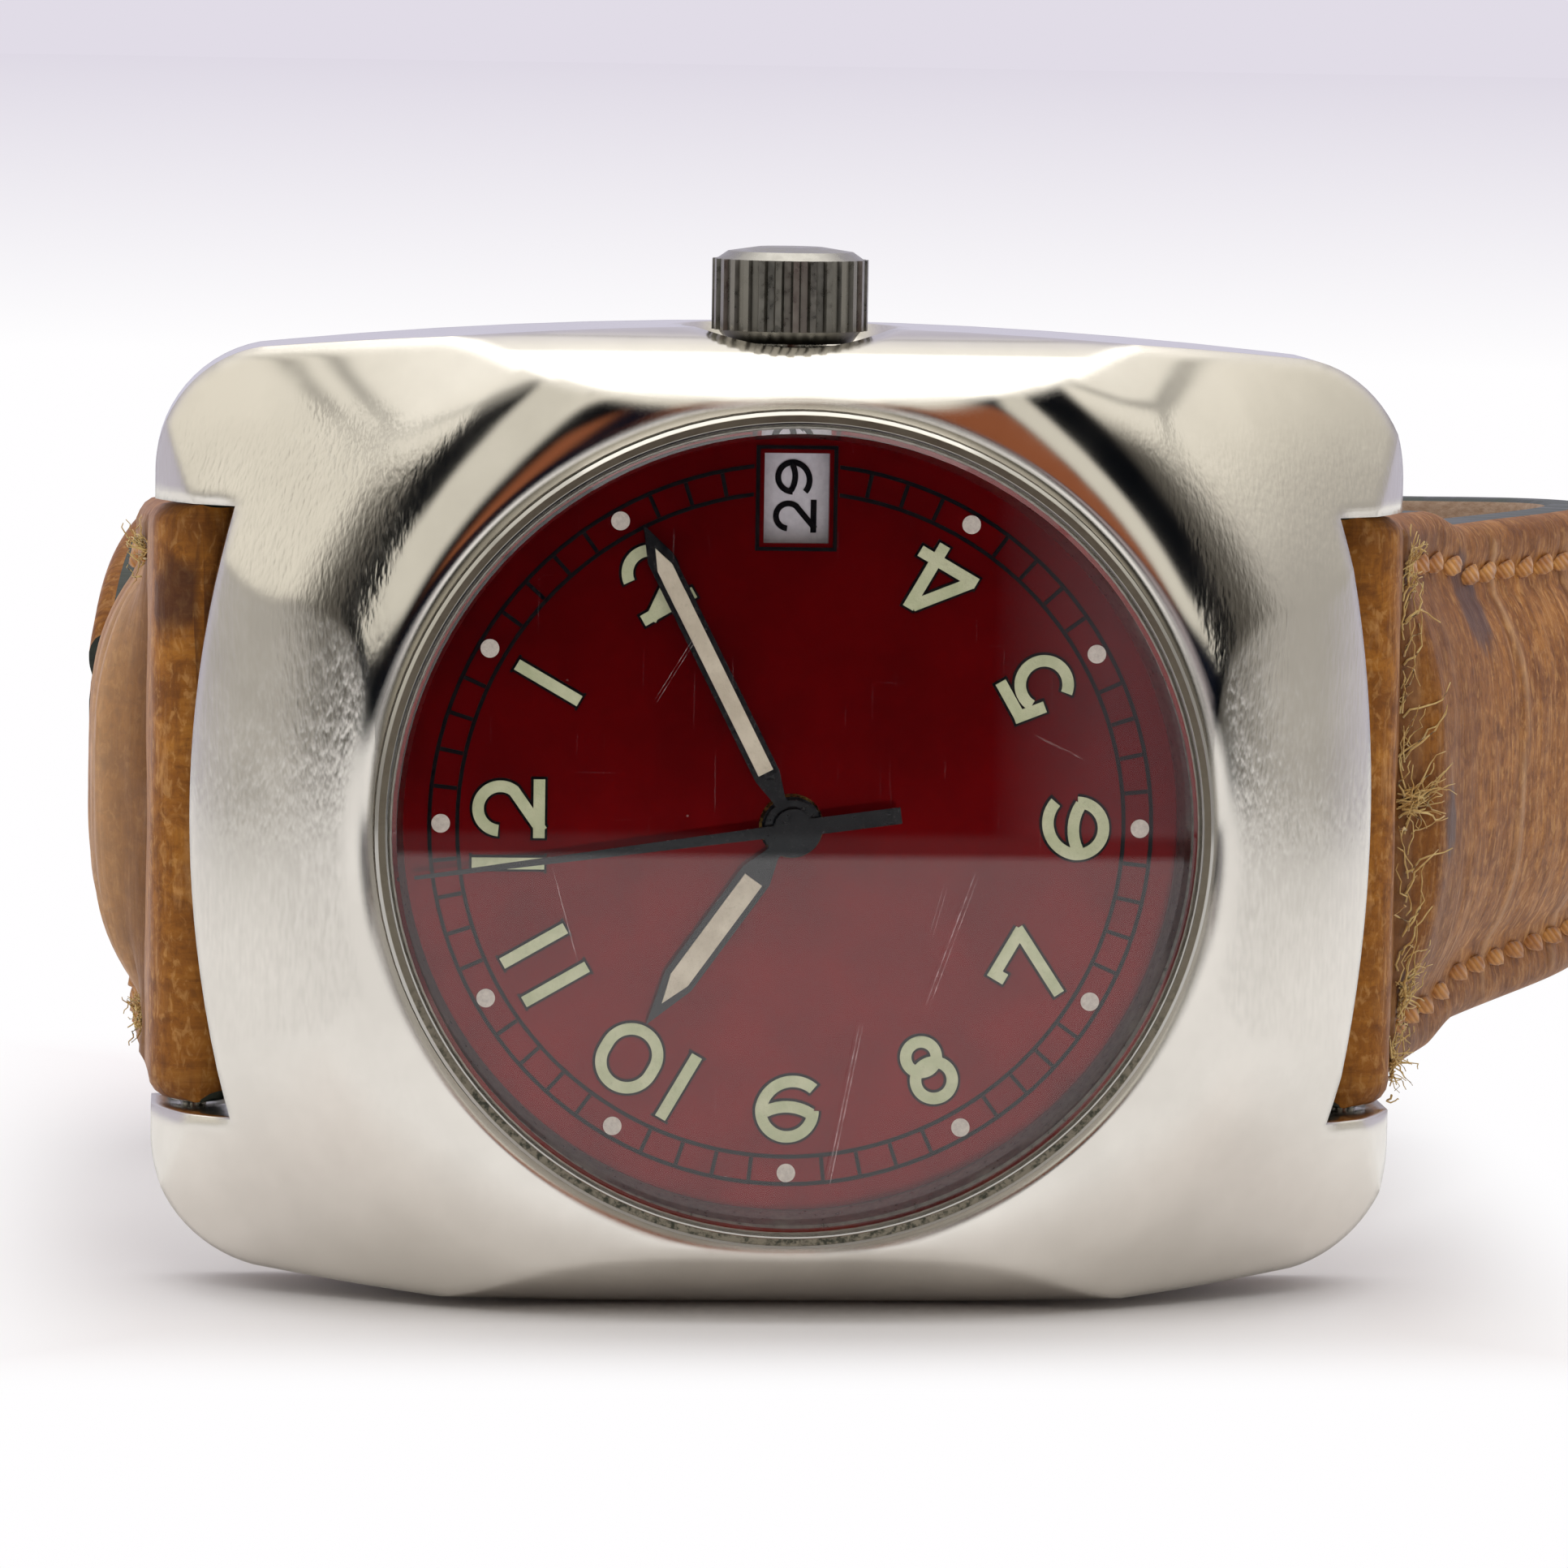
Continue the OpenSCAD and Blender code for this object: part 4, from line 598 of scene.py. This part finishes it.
def bezier(p, t):
    """A point of a Bezier curve with four corners."""
    s = 1 - t
    return [s**3 * p[0][k] + 3 * s * s * t * p[1][k] + 3 * s * t * t * p[2][k] + t**3 * p[3][k]
            for k in (0, 1)]


def fine_points(spans):
    """Close points (y, z, station) along joined Bezier spans, each its corners, its stations and the
    share of it that is used."""
    points, base = [], 0.0
    for corners, steps, share in spans:
        count = steps * 8
        points += [(*bezier(corners, i / count), base + i / 8) for i in range(int(count * share))]
        base += steps * share
    return points


def even_route(points, soften):
    """The same line in steps of one length, with its kinks rounded."""
    route, left = [list(points[0])], 0.0
    for a, b in zip(points, points[1:]):
        gap = math.dist(a[:2], b[:2])
        at = STEP - left
        while at <= gap and gap > 0:
            route.append([a[k] + (b[k] - a[k]) * at / gap for k in range(3)])
            at += STEP
        left = (left + gap) % STEP
    for _ in range(soften):
        route = [route[0]] + [[(p[k] + 2 * q[k] + r[k]) / 4 for k in range(3)]
                              for p, q, r in zip(route, route[1:], route[2:])] + [route[-1]]
    return route


def heading(route, i):
    """The way the route runs at one of its points, as a unit vector."""
    a, b = route[max(i - 1, 0)], route[min(i + 1, len(route) - 1)]
    length = math.dist(a[:2], b[:2])
    return (b[0] - a[0]) / length, (b[1] - a[1]) / length


def short_thick(station):
    """Thickness of the short half at a station."""
    f = min(1.0, station / 26)
    return LUG_THICK * (1 - f) + END_THICK * f


def layer_gap(station):
    """From the middle of the short half to the middle of the long half that lies on it."""
    return short_thick(station) / 2 + END_THICK / 2 + 0.37


def short_route():
    """From the spring bar at 12 o'clock down behind the case to the buckle bar."""
    spans = [([BAR, (19.35, -1.2), (20.0, -6), (20.0, -15)], 10, 1),
             ([(20.0, -15), (20.0, -26), (17, -37.4), (2, -38.6)], 14, 1),
             ([(2, -38.6), (-3, -38.85), (-6, -38.8), (-10.6, -38.8)], 5, 1)]
    return even_route(fine_points(spans) + [(-10.6, -38.8, 29.0), (*BUCKLE, 29.3)], 4)


def long_route(short):
    """From the spring bar at 6 o'clock to the buckle, then on outside the short half to the tip."""
    end = (-9.5, BUCKLE[1] - layer_gap(28))
    spans = [([(-BAR[0], BAR[1]), (-19.5, -1.6), (-21.8, -7), (-26.2, -15)], 10, 1),
             ([(-26.2, -15), (-29.8, -21.5), (-36.5, -31.9), (-28, -33.6)], 12, 1),
             ([(-28, -33.6), (-23, -34.6), (-14, -41.6), end], 8, 0.875)]
    tail = []
    for i in range(len(short) - 1, -1, -1):
        y, z, station = short[i]
        if 13 <= station <= 29:
            d = heading(short, i)
            off = layer_gap(station)
            tail.append((y - off * d[1], z + off * d[0], 59 - station))
    return even_route(fine_points(spans) + tail, 6)


def ramp(value, low, high):
    """A soft step from 0 at low to 1 at high."""
    t = min(1.0, max(0.0, (value - low) / (high - low)))
    return t * t * (3 - 2 * t)


def hump(value, middle, reach):
    """A soft hump, 1 at its middle."""
    return math.exp(-((value - middle) / reach) ** 2)


class Half:
    """One half of the strap: its route, its widths and the marks its leather carries. It tapers up to
    the station taper, its padding ends at pad_end, and a tip or a round nose may end it."""

    def __init__(self, route, side, taper, pad_end, crown, folds, quills, rubbed=0.0, soiled=0.0,
                 tip_from=None, nose_end=None):
        self.route, self.side, self.taper, self.folds, self.quills = route, side, taper, folds, quills
        self.rubbed, self.soiled = rubbed, soiled
        self.pad_end, self.crown, self.tip_from, self.nose_end = pad_end, crown, tip_from, nose_end
        self.length = STEP * (len(route) - 1)

    def at(self, s):
        """The route's point, way and station at a distance from the spring bar."""
        i = min(max(s / STEP, 0.0), len(self.route) - 1.001)
        k = int(i)
        p, q = self.route[k], self.route[k + 1]
        y, z, station = [p[n] + (q[n] - p[n]) * (i - k) for n in range(3)]
        d = heading(self.route, round(i))
        over = s - i * STEP
        return y + d[0] * over, z + d[1] * over, d, station

    def width(self, s, station):
        """Width of the leather, drawn in behind the lugs."""
        f = min(1.0, station / self.taper)
        width = LUG_WIDTH * (1 - f) + END_WIDTH * f - 1.7 * ramp(s, 10.0, 14.0) * (1 - f)
        if self.tip_from and station > self.tip_from:
            width *= math.sqrt(max(0.1, 1 - ((station - self.tip_from) / 4.2) ** 2))
        return width

    def thick(self, s, station):
        """Thickness without the padding, rounded off at the bars."""
        f = min(1.0, station / self.taper)
        thick = LUG_THICK * (1 - f) + END_THICK * f
        if s < 0:
            thick = 2 * math.sqrt(max(0.01, (LUG_THICK / 2) ** 2 - s * s))
        if self.nose_end and s > self.length:
            thick = 2 * math.sqrt(max(0.01, self.nose_end**2 - (s - self.length) ** 2))
        return thick

    def point(self, s, x, off):
        """A place on or in the leather: along it, across it and out from its middle."""
        y, z, d, _ = self.at(s)
        o = (-d[1] * self.side, d[0] * self.side)
        return in_world(x, y + o[0] * off, z + o[1] * off)

    def relief(self, s, x, half):
        """How far the outer face stands out, and its marks: quill; worn fold tops with a painted highlight;
        dirt with painted shade in the fold grooves.
        """
        pad = ramp(s, 3.3, 5.6) * (1 - ramp(s, self.pad_end - 11, self.pad_end))
        inside = min(1.0, abs(x) / (half - 2.5))
        lift = self.crown * pad * (1 - inside**3.2)
        lift -= 0.16 * hump(abs(x), half - 1.75, 0.42) * ramp(s, 3.2, 4.2)
        # A broad painted highlight over the pad near the lug on one half, dirt over the same stretch on the
        # other.
        wear_and_highlight, soil_and_valley_shade = self.rubbed * hump(s, 6.0, 3.6), self.soiled * hump(s, 7.0, 3.4)
        for place, depth in self.folds:
            wave = place + 0.5 * noise.noise(Vector((x * 0.22, place * 3, 4.0))) + 0.02 * x
            fade = 0.55 + 0.45 * noise.noise(Vector((x * 0.3, place * 2, 9.0)))
            lift -= depth * fade * hump(s, wave, 0.24)
            lift += 0.6 * depth * fade * hump(s, wave + 0.55, 0.34)
            # Worn fold tops, lightened further with a painted highlight.
            wear_and_highlight = max(wear_and_highlight, fade * hump(s, wave + 0.5, 0.2))
            # Painted shade darkens each fold's groove.
            soil_and_valley_shade = max(soil_and_valley_shade, min(1.0, 4 * depth) * fade * hump(s, wave - 0.1, 0.34))
        quill = 0.0
        for qs, qx, long_r, wide_r, lean in self.quills:
            ds, dx = s - qs, x - qx
            a, b = ds * math.cos(lean) + dx * math.sin(lean), dx * math.cos(lean) - ds * math.sin(lean)
            near = (a / wide_r) ** 2 + (b / long_r) ** 2
            if near < 4:
                near += 0.5 * noise.noise(Vector((ds * 1.8, dx * 1.8, qs)))
                quill = max(quill, 1 - ramp(near, 0.55, 1.25))
                lift += 0.13 * math.exp(-1.6 * max(0.0, near)) - 0.07 * math.exp(-9 * max(0.0, near))
        # Dirt near the lug and along both edges, plus the painted shade in the fold grooves.
        soil_and_shade = 0.8 * hump(s, 3.7, 0.7) + 0.5 * ramp(abs(x), half - 2.2, half) + soil_and_valley_shade
        lift += 0.06 * noise.noise(Vector((s * 0.9, x * 0.3, 2.0)))
        return lift, (quill, wear_and_highlight, min(1.0, soil_and_shade), 1.0)


def leather_half(name, half, outer, paint, lining):
    """The leather of one strap half: padded top, painted edges, flat lining, turned round the bars."""
    stations = [-LUG_THICK / 2 * math.sin(math.radians(a)) for a in range(84, 0, -12)]
    stations += [i * STEP for i in range(int(half.length / STEP) + 1)]
    if half.nose_end:
        stations += [half.length + half.nose_end * math.sin(math.radians(a)) for a in range(12, 90, 12)]
    across, under = 45, 13
    verts, marks, uvs, kinds = [], [], [], []
    for s in stations:
        _, _, _, station = half.at(s)
        w, t = half.width(s, station) / 2, half.thick(s, station) / 2
        round_top, round_low = min(0.75, 0.9 * t), min(0.35, 0.6 * t)
        top, low = [], []
        for i in range(across):
            x = (w - round_top) * (2 * i / (across - 1) - 1)
            lift, mark = half.relief(s, x, w)
            top.append((x, t + lift, mark))
        edge = []
        for a in (68, 46, 24, 0):
            x = w - round_top + round_top * math.cos(math.radians(a))
            edge.append((x, t - round_top + round_top * math.sin(math.radians(a)), (0, 0, 0.4, 1)))
        for a in (0, 45):
            x = w - round_low + round_low * math.cos(math.radians(a))
            edge.append((x, -t + round_low - round_low * math.sin(math.radians(a)), (0, 0, 0, 1)))
        for i in range(under):
            x = (w - round_low) * (1 - 2 * i / (under - 1))
            low.append((x, -t, half.relief(s, x, w)[1] if s < 0 else (0, 0, 0, 1)))
        for x, off, mark in (*top, *edge, *low, *[(-x, off, mark) for x, off, mark in edge[::-1]]):
            verts.append(half.point(s, x, off))
            marks.append(mark)
            uvs.append((s / MAP_SPAN + 0.1, x / MAP_SPAN + 0.5))
    n = across + under + 12
    faces = []
    for i in range(len(stations) - 1):
        for j in range(n):
            k = (j + 1) % n
            quad = (i * n + j, i * n + k, i * n + n + k, i * n + n + j)
            faces.append(quad if half.side > 0 else quad[::-1])
            beneath = across + 5 <= j < across + under + 5
            quilled = j < across + 3 or j >= n - 4 or (beneath and stations[i] < 3.0)
            kinds.append(0 if quilled else 2 if beneath else 1)
    start, end = tuple(range(n)), tuple((len(stations) - 1) * n + j for j in range(n))
    faces += [start[::-1], end] if half.side > 0 else [start, end[::-1]]
    kinds += [0, 1]
    return new_piece(name, verts, faces, [outer, paint, lining], kinds, uvs, marks, smooth=False)


def quills_for(first, length, seed):
    """Quill marks at random over a strap half, at least 7 mm apart, after the given ones."""
    draw, marks = random.Random(seed), list(first)
    for _ in range(400):
        s, x = draw.uniform(19.0, length - 4), draw.uniform(-5.6, 5.6)
        if all(math.hypot(s - m[0], x - m[1]) > 7.0 for m in marks):
            marks.append((s, x, draw.uniform(1.0, 1.5), draw.uniform(0.7, 1.0), draw.uniform(-0.5, 0.5)))
    return marks


def make_active(piece):
    """Selects one piece alone."""
    bpy.ops.object.select_all(action="DESELECT")
    bpy.context.view_layer.objects.active = piece
    piece.select_set(True)


def bore(piece, cutters):
    """Cuts holes through a piece and takes the cutters away."""
    for cutter in cutters:
        cut = piece.modifiers.new("bore", "BOOLEAN")
        cut.operation, cut.solver, cut.object = "DIFFERENCE", "EXACT", cutter
        make_active(piece)
        bpy.ops.object.modifier_apply(modifier=cut.name)
        bpy.data.objects.remove(cutter, do_unlink=True)


def rod_cutter(radius, length, middle, axis):
    """A smooth rod to cut with; axis is 'width' along the strap's width or 'through' the buckle's layers."""
    turn = (0, 0, 0) if axis == "width" else (math.pi / 2, 0, 0)
    bpy.ops.mesh.primitive_cylinder_add(vertices=40, radius=radius * MM, depth=length * MM, location=middle,
                                        rotation=turn)
    bpy.ops.object.transform_apply(location=True, rotation=True, scale=True)
    return bpy.context.object


def prism_cutter(corners, half_width):
    """A prism to cut with: its outline in (y, z), its half width along x."""
    n = len(corners)
    verts = [in_world(x, y, z) for x in (-half_width, half_width) for y, z in corners]
    faces = [tuple(range(n)), tuple(range(2 * n - 1, n - 1, -1))]
    faces += [(j, j + n, (j + 1) % n + n, (j + 1) % n) for j in range(n)]
    return new_piece("cutter", verts, faces, [EDGE_PAINT], smooth=False)


def about_buckle(angle, y, z):
    """A point given about the buckle bar, turned with the tongue."""
    a = math.radians(angle)
    return BUCKLE[0] + y * math.cos(a) - z * math.sin(a), BUCKLE[1] + y * math.sin(a) + z * math.cos(a)


def tube_faces(rings, around, base=0):
    """Faces of a closed tube whose rings of points follow one another."""
    faces = []
    for i in range(rings - 1):
        for j in range(around):
            a, b = base + i * around + j, base + i * around + (j + 1) % around
            faces.append((a, b, b + around, a + around))
    first, last = [[base + ring * around + j for j in range(around)] for ring in (0, rings - 1)]
    return faces + [tuple(first[::-1]), tuple(last)]


def one_stitch():
    """The shape of one stitch, thick in the middle and pinched where it goes down: points and faces."""
    rings, around = 7, 8
    points = []
    for i in range(rings):
        a = i / (rings - 1)
        thick = 0.12 + 0.2 * math.sin(math.pi * a) ** 0.6
        rise = 0.22 * math.sin(math.pi * a) - 0.16
        for j in range(around):
            turn = 2 * math.pi * j / around + 1.1 * a
            r = thick * (1 + 0.13 * math.cos(3 * turn))
            points.append(((a - 0.5) * 1.75, r * math.cos(turn), rise + 0.8 * r * math.sin(turn)))
    return points, tube_faces(rings, around)


def stitch_rows(name, half, material, start, stop):
    """Rows of saddle stitches along both edges, sunk into their groove."""
    inset, pitch = 1.75, 2.15
    shape, shape_faces = one_stitch()
    verts, faces = [], []
    s = start
    while s < stop:
        for edge in (-1, 1):
            _, _, _, station = half.at(s)
            x0 = edge * (half.width(s, station) / 2 - inset)
            lean = 0.14 * edge + 0.05 * rng.uniform(-1, 1)
            base = len(verts)
            for a, b, c in shape:
                sa = s + a * math.cos(lean) - b * math.sin(lean)
                xa = x0 + a * math.sin(lean) + b * math.cos(lean)
                _, _, _, here = half.at(sa)
                lift, _ = half.relief(sa, xa, half.width(sa, here) / 2)
                verts.append(half.point(sa, xa, half.thick(sa, here) / 2 + lift + 0.08 + c))
            faces += [tuple(base + v for v in (f if half.side < 0 else f[::-1])) for f in shape_faces]
        s += pitch
    return new_piece(name, verts, faces, [material])


def strand(verts, faces, points, radius):
    """A thin tapering fibre along a few points, added to a mesh being made."""
    around, base = 5, len(verts)
    for i, p in enumerate(points):
        way = (points[min(i + 1, len(points) - 1)] - points[max(i - 1, 0)]).normalized()
        side = way.orthogonal().normalized()
        up = way.cross(side)
        r = radius * (1 - 0.55 * i / (len(points) - 1))
        turns = [2 * math.pi * j / around for j in range(around)]
        verts.extend(p + side * r * math.cos(turn) + up * r * math.sin(turn) for turn in turns)
    faces.extend(tube_faces(len(points), around, base))


def frayed_line(name, half, material, spots):
    """Loose linen fibres where the sewing has worn away: spots are (s, x, count, length, lean, spread)."""
    verts, faces = [], []
    for s0, x0, count, length, lean, spread in spots:
        for _ in range(count):
            s, x = s0 + rng.gauss(0, 0.12), x0 + rng.gauss(0, spread)
            turn = lean + rng.gauss(0, 0.45)
            step = length * rng.uniform(0.6, 1.2) / 7
            points, height = [], rng.uniform(0.0, 0.1)
            for _ in range(8):
                _, _, _, station = half.at(s)
                lift, _ = half.relief(s, x, half.width(s, station) / 2)
                points.append(half.point(s, x, half.thick(s, station) / 2 + lift + 0.03 + height))
                s, x = s + step * math.sin(turn), x + step * math.cos(turn)
                turn += rng.gauss(0, 0.4)
                height = min(0.75, max(0.0, height + rng.uniform(-0.08, 0.16)))
            strand(verts, faces, points, rng.uniform(0.028, 0.05) * MM)
    return new_piece(name, verts, faces, [material])


def keeper_loop(name, y_middle, outer, paint):
    """A leather loop round both layers of the strap, with rounded corners, painted edges and a tooled
    line. Its outline lies across the strap, its section along it."""
    length, thick, wide, corner = 4.0, 0.82, 9.35, 1.5
    # Low lies outside the long half, high inside the short one.
    low, high = BUCKLE[1] - layer_gap(28) - 1.85, BUCKLE[1] + 2.125
    path = []
    for cx, cz, a0 in ((wide - corner, high - corner, 0), (-wide + corner, high - corner, 90),
                       (-wide + corner, low + corner, 180), (wide - corner, low + corner, 270)):
        for a in range(a0, a0 + 91, 10):
            path.append((cx + corner * math.cos(math.radians(a)), cz + corner * math.sin(math.radians(a)), a))
    points = []
    for p, q in zip(path, path[1:] + path[:1]):
        cuts = max(1, round(math.dist(p[:2], q[:2]) / 0.6))
        turn = ((q[2] - p[2] + 180) % 360) - 180
        points += [(p[0] + (q[0] - p[0]) * i / cuts, p[1] + (q[1] - p[1]) * i / cuts, p[2] + turn * i / cuts)
                   for i in range(cuts)]
    section = []
    for i in range(17):
        b = (length - 0.7) * (i / 16 - 0.5)
        groove = 0.07 * hump(abs(b), length / 2 - 0.75, 0.13)
        section.append((b, thick / 2 + 0.08 * (1 - (2 * b / length) ** 2) - groove, 0))
    rim = [(length / 2 - 0.12, thick / 2 - 0.1, 1), (length / 2, thick / 2 - 0.3, 1),
           (length / 2, 0.2 - thick / 2, 1), (length / 2 - 0.2, -thick / 2, 1)]
    section += rim + [(-b, off, 1) for b, off, _ in rim[::-1]]
    n, verts, faces, kinds, uvs = len(section), [], [], [], []
    for k, (x, z, a) in enumerate(points):
        nx, nz = math.cos(math.radians(a)), math.sin(math.radians(a))
        for b, off, _ in section:
            wobble = 0.03 * noise.noise(Vector((x * 0.6, z * 0.6, b * 0.4)))
            verts.append(in_world(x + nx * (off + wobble), y_middle + b, z + nz * (off + wobble)))
            uvs.append((0.3 + b / MAP_SPAN, k * 0.006))
        m = (k + 1) % len(points)
        for j in range(n):
            i = (j + 1) % n
            faces.append((k * n + j, m * n + j, m * n + i, k * n + i))
            kinds.append(1 if section[j][2] or section[i][2] else 0)
    return new_piece(name, verts, faces, [outer, paint], kinds, uvs, [(0, 0, 0.15, 1)] * len(verts))


def build_strap(outer, paint, lining, thread, fray):
    """Both strap halves with their sewing, and the two keepers."""
    short = short_route()
    upper = Half(short, side=1, taper=26.0, pad_end=23.0, crown=1.6,
                 folds=[(3.35, 0.3), (4.7, 0.2), (6.1, 0.26), (7.8, 0.16), (9.6, 0.2), (12.5, 0.1)],
                 quills=quills_for([(-1.2, 6.9, 1.25, 0.75, 0.1)], 24.0, 61), rubbed=0.6, nose_end=1.2)
    lower = Half(long_route(short), side=-1, taper=24.0, pad_end=48.0, crown=1.3,
                 folds=[(3.35, 0.36), (16.0, 0.12), (24.0, 0.14), (33.0, 0.1)],
                 quills=quills_for([(12.6, 6.2, 1.9, 1.5, 0.7), (6.7, -0.9, 1.5, 0.85, 0.1)], 62.0, 62),
                 soiled=0.55, tip_from=42.0)
    top = leather_half("strap_short_half", upper, outer, paint, lining)
    bottom = leather_half("strap_long_half", lower, outer, paint, lining)
    # Bores for the spring bars; in the short half the buckle bar's bore and the slot for the tongue; in
    # the long half the three holes and the room for the tongue's eye and blade.
    for piece, sign in ((top, 1), (bottom, -1)):
        bore(piece, [rod_cutter(0.765, 24, in_world(0, sign * BAR[0], BAR[1]), "width")])
    bore(top, [rod_cutter(0.62, 24, in_world(0, *BUCKLE), "width"),
               prism_cutter([(-9.5, -42), (-14.2, -42), (-14.2, -35.8), (-9.5, -35.8)], 1.2)])
    holes = [rod_cutter(0.7, 5.4, in_world(0, y, -41.6), "through") for y in (-3.5, 2.5, 8.5)]
    holes.append(rod_cutter(1.15, 1.8, in_world(0, *BUCKLE), "width"))
    bore(bottom, holes + [prism_cutter([about_buckle(12, -0.3, 0.1), about_buckle(12, -9.6, 0.1),
                                        about_buckle(20, -9.6, -1.2), about_buckle(20, -0.3, -1.2)], 0.8)])
    for piece in (top, bottom):
        make_active(piece)
        bpy.ops.object.shade_smooth_by_angle(angle=math.radians(38))
    sewn = [stitch_rows("stitches_short_half", upper, thread, 5.0, 52.0),
            stitch_rows("stitches_long_half", lower, thread, 5.0, lower.length - 5.5)]
    loose = [(3.7, x, 5, 2.2, 0.1, 0.5) for x in (7, 5.6, 4.2, 2.8, 1.4, 0, -1.4, -2.8, -4.2, -5.6)]
    loose += [(3.6, -0.2, 26, 1.5, 1.3, 0.25), (3.7, -7.0, 34, 1.6, 1.2, 0.4),
              (2.6, -8.8, 30, 1.4, 1.5, 0.35), (3.9, 7.6, 16, 1.3, 1.0, 0.3)]
    tufts = [frayed_line("frayed_thread_short", upper, fray,
                         [(3.9, 8.0, 26, 1.0, 1.2, 0.28), (3.9, -7.7, 30, 1.1, 1.3, 0.3)]),
             frayed_line("frayed_thread_long", lower, fray, loose)]
    for piece in (top, bottom, *sewn, *tufts):
        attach(piece, "case")
    fixed = keeper_loop("fixed_keeper_loop", -5.6, outer, paint)
    free = keeper_loop("free_keeper_loop", 1.2, outer, paint)
    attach(fixed, "case")
    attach(free, "keeper")
    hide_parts("strap_12")
    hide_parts("strap_6")
    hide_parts("fixed_keeper")
    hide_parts("free_keeper")


build_strap(QUILL_LEATHER, EDGE_PAINT, LINING, THREAD, FRAY)
